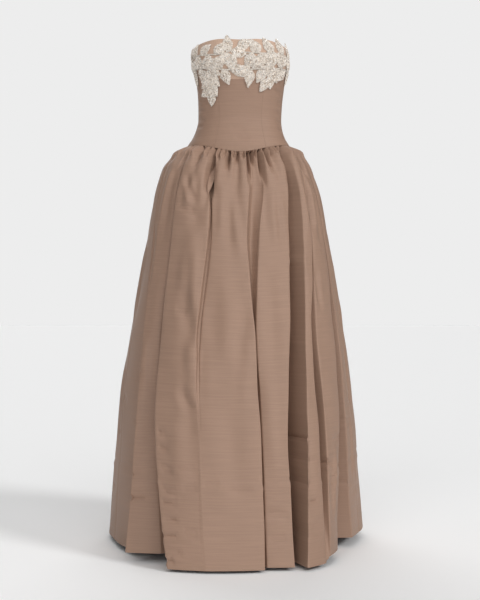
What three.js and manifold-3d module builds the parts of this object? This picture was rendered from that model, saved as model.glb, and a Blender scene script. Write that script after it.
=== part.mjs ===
// Strapless ball gown: a panelled corset bodice, a net yoke with beaded leaves, and a full gathered skirt.
// Millimetres, +Z up. The front faces -Y and +X is the wearer's left. The origin is the centre of the waist.
// Bearings are degrees round the body from centre front, growing toward the wearer's left.
import * as THREE from "three";
import { mergeVertices } from "three/addons/utils/BufferGeometryUtils.js";
import Module from "manifold-3d";

// Driving dimensions
const WALL = 2.2;
const SEAM_GAP = 0.3;
const FACET_CLEAR = 0.2;
const NECK_FRONT = 196;
const NECK_BACK = 178;
const SEAM_SIDE = -82;
const SEAM_FRONT_DIP = 24;
const SEAM_BACK_DIP = 4;
const HEM = -1190;
const FULL_DROP = SEAM_SIDE - HEM;
const HEM_SHIFT = 90;
const ROUNDNESS = 2.15;
const MEAN_RADIUS = 118;

// Colours and finish
const FAILLE = { color: 0x9d7f6e, roughness: 0.62, metalness: 0 };
const NET = { color: 0xd9b899, roughness: 0.8, metalness: 0 };
const BEADS = { color: 0xd8cbb8, roughness: 0.3, metalness: 0.35 };
const TAPE = { color: 0x94786a, roughness: 0.9, metalness: 0 };
const METAL = { color: 0x9c8578, roughness: 0.35, metalness: 0.9 };

// Bodice: how far it reaches to each side of the origin at each height
const BODICE = [
  { z: 235, left: 124, right: 122, front: 99, back: 89 },
  { z: 196, left: 129, right: 127, front: 105, back: 92 },
  { z: 173, left: 133, right: 134, front: 110, back: 94 },
  { z: 150, left: 132, right: 136, front: 113, back: 94 },
  { z: 128, left: 129, right: 133, front: 111, back: 92 },
  { z: 106, left: 124, right: 127, front: 105, back: 89 },
  { z: 72, left: 119, right: 122, front: 96, back: 84 },
  { z: 39, left: 117, right: 118, front: 89, back: 80 },
  { z: 0, left: 116.5, right: 115.5, front: 83, back: 78 },
  { z: -17, left: 117.5, right: 115.5, front: 83, back: 80 },
  { z: -40, left: 124, right: 119, front: 87, back: 86 },
  { z: -62, left: 134, right: 127, front: 92, back: 97 },
  { z: -82, left: 147, right: 139, front: 98, back: 108 },
  { z: -112, left: 158, right: 150, front: 104, back: 120 },
];
const CUP = { bearing: 35, z: 146, reach: 9, wide: 20, tall: 40 };
const NECK_CUP = { rise: 5, wide: 24 };
const YOKE_LINE = { low: 90, rise: 42, bearing: 58, run: 8 };

// A table's row with its columns by name
const named = (columns) => (row) => Object.fromEntries(columns.map((column, i) => [column, row[i]]));

// Skirt: how far the cloth reaches beyond the waist seam, and how far its centre has moved back
const SKIRT = [
  { drop: 0, left: 0, right: 0, front: 0, back: 0 },
  { drop: 14, left: 26, right: 26, front: 22, back: 30 },
  { drop: 36, left: 45, right: 40, front: 40, back: 55 },
  { drop: 58, left: 62, right: 52, front: 52, back: 72 },
  { drop: 106, left: 79, right: 70, front: 70, back: 100 },
  { drop: 148, left: 90, right: 82, front: 82, back: 118 },
  { drop: 232, left: 104, right: 98, front: 100, back: 146 },
  { drop: 316, left: 118, right: 114, front: 115, back: 172 },
  { drop: 484, left: 148, right: 141, front: 142, back: 214 },
  { drop: 652, left: 178, right: 168, front: 170, back: 248 },
  { drop: 820, left: 198, right: 190, front: 195, back: 280 },
  { drop: 988, left: 216, right: 208, front: 218, back: 308 },
  { drop: 1108, left: 230, right: 225, front: 234, back: 328 },
];
const SEAM_REACH = { left: 148, right: 139, front: 100, back: 112 };

// Standing folds in order round the body. left and right are the bearings of a fold's edges at FOLD_DROPS.
// out, tilt and dip are mm at SIZE_DROPS, or at FOLD_DROPS where there are five. They are how far the crest
// stands out, how much further out its right edge is, and how deep the valley after it is. lean moves that
// valley's floor, in degrees. lift raises the hem, and flat makes the crest straight.
const FOLD_DROPS = [50, 230, 500, 760, 1108];
const SIZE_DROPS = [50, 500, 1108];
const FOLD_COLUMNS = ["name", "left", "right", "out", "tilt", "dip", "lean", "lift", "flat", "spans"];
const FOLDS = [
  ["side_right", [-101, -99, -100, -99, -103], [-77, -70, -62, -54.5, -51],
    [2, 2, 0, -6, -20], [0, -4, -10, -16, -26], [40, 54, 66, 72, 70], 0.5, 8, 0.2, 4],
  ["front_far_right", [-72, -65.5, -57, -49.5, -44.5], [-55, -51, -48, -43, -33],
    [2, 0, -4, -8, -12], [0, -6, -12, -20, -30], [42, 64, 84, 100, 118], 2, 18, 0.5, 3],
  ["front_right", [-50, -46, -42, -36, -23.5], [-27, -21, -22, -17.5, -12.5],
    [8, 9, 11, 16, 28], [0, 0, 2, -2, -4], [32, 12, 8, 0, 0], -0.5, 0, 0.3, 4],
  ["front_centre", [-24, -19, -20, -15.5, -10.5], [9, 4.5, 7.2, 8.2, 8.2],
    [1, 1, 1, 10, 16], [0, 0, 2, -4, -8], [20, 24, 26, 24, 24], -0.5, 0, 0.3, 6],
  ["front_left", [23, 14, 9.2, 9.8, 9.6], [43, 34, 26, 20, 18.6],
    [-1, -3, -4, -2, 2], [0, 1, 2, 0, -2], [42, 66, 100, 124, 124], 1, 2, 0.6, 4],
  ["front_left_roll", [53, 46, 36, 29, 22.5], [60, 53, 39.5, 35, 31],
    [3, 4, 4, 12, 22], [0, 0, 0, -4, -10], [2, 2, 24, 60, 3], 0, 3, 0, 2],
  ["front_far_left", [62, 55, 44, 41, 34], [70, 69, 60, 54, 46],
    [2, 2, 2, -4, -16], [0, 0, 0, -4, -24], [36, 60, 72, 72, 84], 0.5, 18, 0, 2],
  ["side_left", [77, 76, 71, 66, 70], [92, 96, 95, 96, 100],
    [4, 3, 2, -6, -24], [0, 4, 6, 10, 22], [36, 48, 56, 64, 72], 0, 20, 0.2, 4],
  ["back_far_left", [100, 104, 103, 104, 108], [115, 120, 119, 117, 124],
    [3, 4, 6], [0, 0, 0], [34, 62, 84], -2, 12, 0.2, 3],
  ["back_mid_left", [123, 127, 126, 123, 131], [138, 141, 142, 143, 147],
    [2, -2, 4], [0, 3, 6], [30, 50, 60], 2, 4, 0.3, 3],
  ["back_near_left", [145, 148, 150, 150, 153], [160, 161, 161, 160, 163],
    [4, 8, 14], [0, 0, 0], [32, 66, 92], 1, 0, 0, 3],
  ["back_centre", [168, 167, 167, 166, 169], [192, 191, 190, 193, 195],
    [0, 2, 4], [0, 4, 8], [34, 58, 78], -1, 0, 0.4, 4],
  ["back_near_right", [199, 198, 197, 200, 202], [214, 212, 211, 214, 215],
    [4, 2, -4], [0, -3, -6], [28, 46, 56], 0, 0, 0.2, 3],
  ["back_mid_right", [221, 219, 218, 220, 221], [234, 232, 229, 231, 237],
    [2, 6, 12], [0, 0, 0], [32, 60, 84], 2, 4, 0, 3],
  ["back_far_right", [240, 239, 238, 240, 244], [253, 255, 254, 255, 251],
    [3, 0, 2], [0, 2, 0], [34, 58, 62], -1, 6, 0.2, 3],
].map(named(FOLD_COLUMNS));
const SIDE_FOLD_RIGHT = 0;
const SIDE_FOLD_LEFT = 7;
const BACK_FOLD = 11;

// Short gathers under the waist seam: bearing, depth, the drop where each dies out, and its drift in degrees
const GATHERS = [
  { bearing: -94, deep: 11, long: 100, drift: -1 }, { bearing: -62, deep: 14, long: 90, drift: 2 },
  { bearing: -38.5, deep: 12, long: 100, drift: -1 }, { bearing: -12, deep: 14, long: 90, drift: 1 },
  { bearing: -3, deep: 13, long: 110, drift: 1 }, { bearing: 13.5, deep: 8, long: 80, drift: 1 },
  { bearing: 33, deep: 16, long: 110, drift: 2 }, { bearing: 86, deep: 12, long: 100, drift: 1 },
  { bearing: 108, deep: 12, long: 90, drift: 1 }, { bearing: 130, deep: 14, long: 110, drift: -1 },
  { bearing: 152, deep: 12, long: 90, drift: 1 }, { bearing: 206, deep: 13, long: 110, drift: 1 },
  { bearing: 227, deep: 14, long: 90, drift: -1 }, { bearing: 246, deep: 12, long: 100, drift: 1 },
];
const GATHER_WIDE = 3.2;
const GATHER_START = 8;

// Folds grow over FOLD_START of drop and are rounded by PUFF at the seam until PUFF_FADE. Those of the front
// crowd together toward its sides by DRAW degrees until DRAW_FADE.
const FOLD_START = 34;
const PUFF = 7;
const PUFF_FADE = 200;
const DRAW = 12;
const DRAW_FADE = 22;

// A fold's edges are rounded over CORNER mm and fall by EDGE_DROP of it. MEAN_TOP and MEAN_HEM are mean radii
// of the skirt, and FLAT_RADIUS is added to them where a crest is made straight.
const CORNER = 11;
const CORNER_SHARE = 0.225;
const EDGE_DROP = 0.8;
const FLOOR_SHARE = 0.3;
const MEAN_TOP = 150;
const MEAN_HEM = 400;
const FLAT_RADIUS = 60;

// Rows of the skirt's wall, in mm of drop
const SKIRT_ROWS = [0, 12, 30, 56, 100, 165, 260, 400, 570, 760, 940, FULL_DROP];

// Stems of the beaded trim, as bearing and height pairs. Leaves grow from both sides of each stem in turn, at
// spread degrees to it, and one more from its end. rise is how far the stem lies over the leaves below it.
const LEAF_THICK = 2.6;
const STEM_COLUMNS = ["leaves", "long", "wide", "spread", "rise", "path"];
const TRIM = {
  applique_front: [
    [11, 45, 31, 60, 0, [[-90, 150], [-62, 160], [-26, 155], [-4, 174]]],
    [10, 45, 31, 60, 0, [[90, 150], [62, 162], [34, 158], [8, 160]]],
    [10, 43, 30, 64, 1.2, [[-88, 126], [-60, 125], [-34, 118], [-4, 112]]],
    [10, 43, 30, 64, 1.2, [[88, 126], [60, 124], [34, 119], [6, 114]]],
    [7, 41, 28, 50, 2, [[-44, 124], [-43, 102], [-45, 78], [-46, 60]]],
    [4, 40, 28, 50, 2, [[52, 124], [46, 108], [42, 94]]],
  ],
  applique_back_left: [[7, 41, 27, 60, 0, [[102, 152], [120, 160], [138, 152], [152, 156]]]],
  applique_back_right: [[7, 41, 27, 60, 0, [[258, 152], [240, 160], [222, 152], [208, 156]]]],
};
const LEAF_VARY = [0, 14, -10, 6, -16, 12, -4];

// Centre back zip
const ZIP = { tapeWide: 22, tapeThick: 0.8, top: 168 };
const SLIDER = { wide: 7, tall: 10, thick: 2.6, z: 156, earThick: 1, earReach: 3.6, earTall: 4 };
const PIN_RADIUS = 0.6;
const PIN_INSET = 1.4;
const EAR_SINK = 0.4;
const PULL = { wide: 4.2, long: 22, thick: 1.2, eye: 1.75, bore: 0.95 };

const RAD = Math.PI / 180;

// A table column at any place, smooth through its rows
function between(places, values, place) {
  const last = places.length - 1;
  if (place <= places[0]) return values[0];
  if (place >= places[last]) return values[last];
  const i = places.findIndex((p) => p > place) - 1;
  const slope = (j) => {
    const lower = Math.max(j - 1, 0);
    const upper = Math.min(j + 1, last);
    return (values[upper] - values[lower]) / (places[upper] - places[lower]);
  };
  const gap = places[i + 1] - places[i];
  const t = (place - places[i]) / gap;
  const rise = values[i + 1] - values[i];
  const startBend = slope(i) * gap - rise;
  const endBend = rise - slope(i + 1) * gap;
  return values[i] + rise * t + t * (1 - t) * (startBend * (1 - t) + endBend * t);
}

function columnOf(table, at, name) {
  const places = table.map((row) => row[at]);
  const order = places[0] > places[1] ? [...table].reverse() : table;
  return (place) => between(order.map((row) => row[at]), order.map((row) => row[name]), place);
}

const SIDES = ["left", "right", "front", "back"];
const bodiceReach = Object.fromEntries(SIDES.map((side) => [side, columnOf(BODICE, "z", side)]));
const skirtGrowth = Object.fromEntries(SIDES.map((side) => [side, columnOf(SKIRT, "drop", side)]));

// Radius of a rounded outline at a bearing. Column left is at -X, on the left as the front is seen.
function outlineRadius(bearing, left, right, front, back) {
  const s = Math.sin(bearing * RAD);
  const c = Math.cos(bearing * RAD);
  const across = Math.abs(s) / (s > 0 ? right : left);
  const along = Math.abs(c) / (c > 0 ? front : back);
  return (across ** ROUNDNESS + along ** ROUNDNESS) ** (-1 / ROUNDNESS);
}

const bell = (x) => Math.exp(-x * x);

function bodiceRadius(bearing, z) {
  const reach = SIDES.map((side) => bodiceReach[side](z));
  const turn = Math.abs(((bearing + 540) % 360) - 180);
  const cup = CUP.reach * bell((turn - CUP.bearing) / CUP.wide) * bell((z - CUP.z) / CUP.tall);
  return outlineRadius(bearing, ...reach) + cup;
}

function pointAt(bearing, radius, z, back = 0) {
  const x = radius * Math.sin(bearing * RAD);
  const y = back - radius * Math.cos(bearing * RAD);
  return new THREE.Vector3(x, y, z);
}

// A point off the bodice by a distance along its normal
function bodicePoint(bearing, z, off) {
  const point = pointAt(bearing, bodiceRadius(bearing, z), z);
  const step = 0.5;
  const along = pointAt(bearing + step, bodiceRadius(bearing + step, z), z);
  const up = pointAt(bearing, bodiceRadius(bearing, z + step), z + step);
  const normal = along.sub(point).cross(up.sub(point)).normalize();
  return point.addScaledVector(normal, off);
}

function seamHeight(bearing) {
  const c = Math.cos(bearing * RAD);
  return SEAM_SIDE - (c > 0 ? SEAM_FRONT_DIP * c ** 3 : SEAM_BACK_DIP * c * c);
}

function neckHeight(bearing) {
  const c = Math.cos(bearing * RAD);
  const cups = NECK_CUP.rise * bell((Math.abs(bearing) - CUP.bearing) / NECK_CUP.wide);
  const middle = (NECK_FRONT + NECK_BACK) / 2;
  return middle + ((NECK_FRONT - NECK_BACK) / 2) * c + (c > 0 ? cups : 0);
}

// The line where the net yoke meets the faille: low at centre front, and higher from the sides to the back
function yokeHeight(bearing) {
  const turn = Math.abs(((bearing + 540) % 360) - 180);
  return YOKE_LINE.low + YOKE_LINE.rise / (1 + Math.exp(-(turn - YOKE_LINE.bearing) / YOKE_LINE.run));
}

// Skirt outline without its folds
function skirtRadius(bearing, drop) {
  const shift = (HEM_SHIFT * drop) / FULL_DROP;
  const growth = Object.fromEntries(SIDES.map((side) => [side, skirtGrowth[side](drop)]));
  const start = outlineRadius(bearing, ...SIDES.map((side) => SEAM_REACH[side]));
  const reach = SIDES.map((side) => SEAM_REACH[side] + growth[side]);
  reach[2] += shift;
  reach[3] -= shift;
  return bodiceRadius(bearing, seamHeight(bearing)) - start + outlineRadius(bearing, ...reach);
}

function gatherDip(bearing, drop) {
  const grown = 1 - Math.exp(-drop / GATHER_START);
  let dip = 0;
  for (const g of GATHERS) {
    const fade = Math.max(0, 1 - drop / g.long);
    const away = ((bearing - g.bearing - (g.drift * drop) / g.long + 540) % 360) - 180;
    dip += g.deep * fade * bell(away / GATHER_WIDE);
  }
  return dip * grown;
}

// The fold line at one drop, as control points of bearing, offset and hem lift, in order round the body
function foldPoints(drop) {
  const grown = 1 - Math.exp(-drop / FOLD_START);
  const radius = MEAN_TOP + ((MEAN_HEM - MEAN_TOP) * drop) / FULL_DROP;
  const puff = PUFF * Math.exp(-drop / PUFF_FADE);
  const size = (list) => between(list.length === FOLD_DROPS.length ? FOLD_DROPS : SIZE_DROPS, list, drop);
  const lefts = FOLDS.map((fold) => between(FOLD_DROPS, fold.left, drop));
  const rights = FOLDS.map((fold) => between(FOLD_DROPS, fold.right, drop));

  // Bearing and offset of a fold's crest, at a share of the way from its left to its right edge
  const crest = (i, share) => {
    const fold = FOLDS[i];
    const wide = rights[i] - lefts[i];
    const across = 2 * share - 1;
    const straight = (radius + FLAT_RADIUS) * (1 / Math.cos((wide / 2) * across * RAD) - 1);
    const level = size(fold.out) + size(fold.tilt) * across + puff * (1 - across * across);
    return { bearing: lefts[i] + wide * share, off: level + fold.flat * straight };
  };

  const points = [];
  const add = (bearing, off, lift) => points.push({ bearing, off: off * grown, lift });
  FOLDS.forEach((fold, i) => {
    const next = (i + 1) % FOLDS.length;
    const before = FOLDS[(i + FOLDS.length - 1) % FOLDS.length];
    const wide = rights[i] - lefts[i];
    const rounding = Math.min(CORNER / radius / RAD / wide, CORNER_SHARE);
    const gap = lefts[next] + (next === 0 ? 360 : 0) - rights[i];
    const leftOff = crest(i, 0).off;
    const rightOff = crest(i, 1).off;
    add(lefts[i], leftOff - Math.min(CORNER, size(before.dip)) * EDGE_DROP, fold.lift);
    add(lefts[i], leftOff, fold.lift);
    for (let k = 0; k <= fold.spans; k += 1) {
      const place = crest(i, rounding + ((1 - 2 * rounding) * k) / fold.spans);
      add(place.bearing, place.off, fold.lift);
    }
    add(rights[i], rightOff, fold.lift);
    add(rights[i], rightOff - Math.min(CORNER, size(fold.dip)) * EDGE_DROP, fold.lift);
    const floor = (rightOff + crest(next, 0).off) / 2 - size(fold.dip);
    const lift = (fold.lift + FOLDS[next].lift) / 2;
    const lean = fold.lean * grown;
    add(rights[i] + FLOOR_SHARE * gap + lean, floor, lift);
    add(rights[i] + (1 - FLOOR_SHARE) * gap + lean, floor, lift);
  });
  return points;
}

const pointsInFold = (fold) => fold.spans + 7;
const foldStart = (index) => FOLDS.slice(0, index).reduce((sum, fold) => sum + pointsInFold(fold), 0);
const foldMiddle = (index) => foldStart(index) + 2 + FOLDS[index].spans / 2;

// One ring of the skirt: a cubic B-spline through the fold points, one sample at each
function skirtRing(drop) {
  const points = foldPoints(drop);
  const count = points.length;
  return points.map((here, i) => {
    const before = points[(i + count - 1) % count];
    const after = points[(i + 1) % count];
    const mean = (key, wrapBefore = 0, wrapAfter = 0) =>
      (before[key] + wrapBefore + 4 * here[key] + after[key] + wrapAfter) / 6;
    const settled = mean("bearing", i === 0 ? -360 : 0, i === count - 1 ? 360 : 0);
    const off = mean("off") - gatherDip(settled, drop);
    const front = Math.cos(settled * RAD) > 0;
    const drawn = front ? DRAW * Math.sin(2 * settled * RAD) * Math.exp(-drop / DRAW_FADE) : 0;
    const bearing = settled + drawn;
    const lift = (mean("lift") * drop) / FULL_DROP;
    const top = seamHeight(bearing) - SEAM_GAP - FACET_CLEAR;
    const z = top - (drop * (top - HEM)) / FULL_DROP + lift;
    return pointAt(bearing, skirtRadius(bearing, drop) + off, z, (HEM_SHIFT * drop) / FULL_DROP);
  });
}

// Moves a closed ring inward, in plan, by a thickness, square to both of each point's neighbours
const MITRE_LIMIT = 1.8;
function insetRing(ring, thickness) {
  const inward = (from, to) => new THREE.Vector3(from.y - to.y, to.x - from.x, 0).normalize();
  return ring.map((point, i) => {
    const before = inward(ring[(i + ring.length - 1) % ring.length], point);
    const after = inward(point, ring[(i + 1) % ring.length]);
    const mitre = before.clone().add(after).divideScalar(1 + before.dot(after));
    return point.clone().addScaledVector(mitre.clampLength(0, MITRE_LIMIT), thickness);
  });
}

// A closed wall from two grids of points, the outer one and the inner one, rows from top to bottom
function wallGeometry(outer, inner) {
  const rows = outer.length;
  const columns = outer[0].length;
  const vertices = [...outer.flat(), ...inner.flat()];
  const out = (r, c) => r * columns + c;
  const inn = (r, c) => rows * columns + r * columns + c;
  const faces = [];
  const quad = (a, b, c, d) => faces.push(a, b, c, a, c, d);
  for (let r = 0; r + 1 < rows; r += 1) {
    for (let c = 0; c + 1 < columns; c += 1) {
      quad(out(r, c), out(r + 1, c), out(r + 1, c + 1), out(r, c + 1));
      quad(inn(r, c), inn(r, c + 1), inn(r + 1, c + 1), inn(r + 1, c));
    }
    quad(out(r, 0), inn(r, 0), inn(r + 1, 0), out(r + 1, 0));
    quad(out(r, columns - 1), out(r + 1, columns - 1), inn(r + 1, columns - 1), inn(r, columns - 1));
  }
  for (let c = 0; c + 1 < columns; c += 1) {
    quad(out(0, c), out(0, c + 1), inn(0, c + 1), inn(0, c));
    quad(out(rows - 1, c), inn(rows - 1, c), inn(rows - 1, c + 1), out(rows - 1, c + 1));
  }
  return meshGeometry(vertices, faces);
}

function meshGeometry(vertices, faces) {
  const geometry = new THREE.BufferGeometry();
  const numbers = vertices.flatMap((vertex) => vertex.toArray());
  geometry.setAttribute("position", new THREE.Float32BufferAttribute(numbers, 3));
  geometry.setIndex(faces);
  return geometry;
}

const root = new THREE.Group();

function addMesh(name, geometry, finish, parent = root) {
  geometry.computeVertexNormals();
  const mesh = new THREE.Mesh(geometry, new THREE.MeshStandardMaterial(finish));
  mesh.name = name;
  parent.add(mesh);
  return mesh;
}

// Bodice and yoke panels. A yoke panel has the same bearings as the faille panels under it.
const PRINCESS = 38;
const BACK_PRINCESS = 142;
const SIDE_SEAM = 90;
const BODICE_ROWS = 8;
const YOKE_ROWS = 3;
const FAILLE_PANELS = [
  { name: "bodice_side_front_right", from: -SIDE_SEAM, to: -PRINCESS, columns: 7, yoke: "yoke_front" },
  { name: "bodice_centre_front", from: -PRINCESS, to: PRINCESS, columns: 12, yoke: "yoke_front" },
  { name: "bodice_side_front_left", from: PRINCESS, to: SIDE_SEAM, columns: 7, yoke: "yoke_front" },
  { name: "bodice_side_back_left", from: SIDE_SEAM, to: BACK_PRINCESS, columns: 6, yoke: "yoke_back_left" },
  { name: "bodice_back_left", from: BACK_PRINCESS, to: 180, columns: 5, yoke: "yoke_back_left" },
  { name: "bodice_back_right", from: 180, to: 360 - BACK_PRINCESS, columns: 5, yoke: "yoke_back_right" },
  { name: "bodice_side_back_right", from: 360 - BACK_PRINCESS, to: 270, columns: 6, yoke: "yoke_back_right" },
];

const bearingsOf = ({ from, to, columns }) =>
  Array.from({ length: columns + 1 }, (_, c) => from + ((to - from) * c) / columns);

function bodicePanel(name, bearings, rows, bottom, top, finish) {
  const gapAngle = SEAM_GAP / 2 / MEAN_RADIUS / RAD;
  const trimmed = [...bearings];
  trimmed[0] += gapAngle;
  trimmed[trimmed.length - 1] -= gapAngle;
  const grid = (inset) =>
    Array.from({ length: rows + 1 }, (_, r) =>
      trimmed.map((bearing) => {
        const z = top(bearing) + ((bottom(bearing) - top(bearing)) * r) / rows;
        return pointAt(bearing, bodiceRadius(bearing, z) - inset, z);
      }),
    );
  addMesh(name, wallGeometry(grid(0), grid(WALL)), finish);
}

const yokeBottom = (bearing) => yokeHeight(bearing) + SEAM_GAP;
const yokeBearings = {};
for (const panel of FAILLE_PANELS) {
  const bearings = bearingsOf(panel);
  bodicePanel(panel.name, bearings, BODICE_ROWS, seamHeight, yokeHeight, FAILLE);
  const earlier = yokeBearings[panel.yoke] ?? [];
  yokeBearings[panel.yoke] = [...earlier, ...bearings.slice(earlier.length ? 1 : 0)];
}
for (const [name, bearings] of Object.entries(yokeBearings))
  bodicePanel(name, bearings, YOKE_ROWS, yokeBottom, neckHeight, NET);

// Skirt panels, cut from the same rings at the side seams and the centre back seam
function skirtPanel(name, first, last, outerRings, innerRings) {
  const count = outerRings[0].length;
  const cut = (ring) => {
    const points = [];
    for (let i = first; i <= last; i += 1) points.push(ring[i % count].clone());
    const trim = (end, inner) => end.addScaledVector(inner.clone().sub(end).normalize(), SEAM_GAP / 2);
    trim(points[0], points[1]);
    trim(points[points.length - 1], points[points.length - 2]);
    return points;
  };
  addMesh(name, wallGeometry(outerRings.map(cut), innerRings.map(cut)), FAILLE);
}

const outerRings = SKIRT_ROWS.map(skirtRing);
const innerRings = outerRings.map((ring) => insetRing(ring, WALL));
const ringCount = foldStart(FOLDS.length);
const rightSeam = foldMiddle(SIDE_FOLD_RIGHT);
const leftSeam = foldMiddle(SIDE_FOLD_LEFT);
const backSeam = foldMiddle(BACK_FOLD);
skirtPanel("skirt_front", rightSeam, leftSeam, outerRings, innerRings);
skirtPanel("skirt_back_left", leftSeam, backSeam, outerRings, innerRings);
skirtPanel("skirt_back_right", backSeam, rightSeam + ringCount, outerRings, innerRings);

// Booleans on closed meshes
const wasm = await Module();
wasm.setup();

function solidOf(geometry) {
  const bare = geometry.clone();
  bare.deleteAttribute("normal");
  bare.deleteAttribute("uv");
  const merged = mergeVertices(bare, 1e-3);
  return new wasm.Manifold(
    new wasm.Mesh({
      numProp: 3,
      vertProperties: new Float32Array(merged.attributes.position.array),
      triVerts: new Uint32Array(merged.index.array),
    }),
  );
}

function geometryOf(solid) {
  const mesh = solid.getMesh();
  const geometry = new THREE.BufferGeometry();
  geometry.setAttribute("position", new THREE.BufferAttribute(new Float32Array(mesh.vertProperties), 3));
  geometry.setIndex(new THREE.BufferAttribute(new Uint32Array(mesh.triVerts), 1));
  return geometry;
}

const joined = (solids) => solids.reduce((whole, solid) => whole.add(solid));

// A strip that lies on the bodice, ridged along its middle. A station has a place, a heading and a half width
const TRIM_LIFT = 0.8;
const RIM_THICK = 0.3;
function surfaceStrip(stations, thick, rise) {
  const base = TRIM_LIFT + rise;
  const place = (station, across, off) => {
    const bearing = station.bearing + (station.half * across * Math.cos(station.heading)) / MEAN_RADIUS / RAD;
    return bodicePoint(bearing, station.z - station.half * across * Math.sin(station.heading), off);
  };
  const vertices = [];
  const faces = [];
  const last = stations.length - 1;
  stations.forEach((station, i) => {
    const end = i === 0 || i === last;
    vertices.push(place(station, -1, base + RIM_THICK));
    vertices.push(place(station, 0, base + (end ? 2 * RIM_THICK : thick)));
    vertices.push(place(station, 1, base + RIM_THICK));
    vertices.push(place(station, 0, base));
  });
  const corner = (i, k) => 4 * i + (k % 4);
  for (let i = 0; i < last; i += 1)
    for (let k = 0; k < 4; k += 1) {
      faces.push(corner(i, k), corner(i + 1, k + 1), corner(i + 1, k));
      faces.push(corner(i, k), corner(i, k + 1), corner(i + 1, k + 1));
    }
  faces.push(corner(0, 0), corner(0, 2), corner(0, 1), corner(0, 0), corner(0, 3), corner(0, 2));
  faces.push(corner(last, 0), corner(last, 1), corner(last, 2));
  faces.push(corner(last, 0), corner(last, 2), corner(last, 3));
  return meshGeometry(vertices, faces);
}

const LEAF_SHAPE = [
  { at: 0, half: 0.1 }, { at: 0.22, half: 0.84 }, { at: 0.42, half: 1 },
  { at: 0.66, half: 0.74 }, { at: 1, half: 0.06 },
];

function leafSolid(leaf) {
  const stations = LEAF_SHAPE.map(({ at, half }) => ({
    bearing: leaf.bearing + (leaf.long * at * Math.sin(leaf.heading)) / MEAN_RADIUS / RAD,
    z: leaf.z + leaf.long * at * Math.cos(leaf.heading),
    half: (half * leaf.wide) / 2,
    heading: leaf.heading,
  }));
  return solidOf(surfaceStrip(stations, LEAF_THICK, leaf.rise));
}

const STEM_HALF = 2;
const STEM_THICK = 1.8;
function stemPlace(path, at) {
  const places = path.map((_, i) => i / (path.length - 1));
  const column = (k, t) =>
    between(
      places,
      path.map((point) => point[k]),
      t,
    );
  const step = 0.02;
  const along = (column(0, at + step) - column(0, at - step)) * RAD * MEAN_RADIUS;
  const heading = Math.atan2(along, column(1, at + step) - column(1, at - step));
  return { bearing: column(0, at), z: column(1, at), heading };
}

function stemSolid(stem) {
  const steps = 2 * stem.path.length;
  const station = (i) => ({ ...stemPlace(stem.path, i / steps), half: STEM_HALF });
  const stations = Array.from({ length: steps + 1 }, (_, i) => station(i));
  return solidOf(surfaceStrip(stations, STEM_THICK, stem.rise));
}

function stemLeaves(stem) {
  return Array.from({ length: stem.leaves }, (_, i) => {
    const place = stemPlace(stem.path, i / (stem.leaves - 1));
    const side = i === stem.leaves - 1 ? 0 : i % 2 ? 1 : -1;
    const vary = LEAF_VARY[i % LEAF_VARY.length];
    const heading = place.heading + side * (stem.spread + vary) * RAD;
    return { ...place, heading, long: stem.long + vary / 3, wide: stem.wide, rise: stem.rise };
  });
}

for (const [name, rows] of Object.entries(TRIM)) {
  const stems = rows.map(named(STEM_COLUMNS));
  const solids = stems.flatMap((stem) => [stemSolid(stem), ...stemLeaves(stem).map(leafSolid)]);
  addMesh(name, geometryOf(joined(solids)), BEADS);
}

// Centre back zip: a tape inside the opening, a slider outside at its top and a pull tab hinged on the slider
const TAPE_CLEAR = 1.3;
const TAPE_ROWS = 9;
const TAPE_SKIRT_ROWS = 6;
function zipTape() {
  const half = ZIP.tapeWide / 2;
  const seam = seamHeight(180);
  const spine = Array.from({ length: TAPE_ROWS + 1 }, (_, r) => {
    const z = ZIP.top + ((seam - ZIP.top) * r) / TAPE_ROWS;
    return new THREE.Vector3(0, bodiceRadius(180, z), z);
  });
  spine.push(...outerRings.slice(0, TAPE_SKIRT_ROWS).map((ring) => ring[backSeam]));
  const grid = (inset) =>
    spine.map((point) => [half, 0, -half].map((x) => new THREE.Vector3(x, point.y - WALL - inset, point.z)));
  addMesh("zip_tape", wallGeometry(grid(TAPE_CLEAR), grid(TAPE_CLEAR + ZIP.tapeThick)), TAPE);
}

function boxSolid(wide, deep, tall, x, y, z) {
  const geometry = new THREE.BoxGeometry(wide, deep, tall);
  geometry.translate(x, y, z);
  return solidOf(geometry);
}

function barSolid(radius, long, y, z) {
  const geometry = new THREE.CylinderGeometry(radius, radius, long, 16);
  geometry.rotateZ(Math.PI / 2);
  geometry.translate(0, y, z);
  return solidOf(geometry);
}

const backFace = bodiceRadius(180, SLIDER.z) + SEAM_GAP;
const pinY = backFace + SLIDER.thick + SLIDER.earReach - PIN_INSET;
function zipSlider() {
  const bodyY = backFace + SLIDER.thick / 2;
  const earY = backFace + SLIDER.thick + SLIDER.earReach / 2 - EAR_SINK / 2;
  const earX = SLIDER.wide / 2 - SLIDER.earThick / 2;
  const body = boxSolid(SLIDER.wide, SLIDER.thick, SLIDER.tall, 0, bodyY, SLIDER.z);
  const ears = [-1, 1].map((side) =>
    boxSolid(SLIDER.earThick, SLIDER.earReach + EAR_SINK, SLIDER.earTall, side * earX, earY, SLIDER.z),
  );
  const pin = barSolid(PIN_RADIUS, SLIDER.wide - SLIDER.earThick, pinY, SLIDER.z);
  addMesh("zip_slider", geometryOf(joined([body, ...ears, pin])), METAL);
}

function zipPull() {
  const plate = boxSolid(PULL.wide, PULL.thick, PULL.long, 0, pinY, SLIDER.z - PULL.long / 2 - PULL.eye / 2);
  const eye = barSolid(PULL.eye, PULL.wide, pinY, SLIDER.z);
  const bore = barSolid(PULL.bore, PULL.wide + 2, pinY, SLIDER.z);
  addMesh("zip_pull", geometryOf(plate.add(eye).subtract(bore)), METAL);
}

zipTape();
zipSlider();
zipPull();

export default root;
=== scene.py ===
import math
import random

import bpy
import numpy as np
from bpy.props import FloatProperty, FloatVectorProperty, IntProperty, PointerProperty
from mathutils import Matrix, Vector


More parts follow.
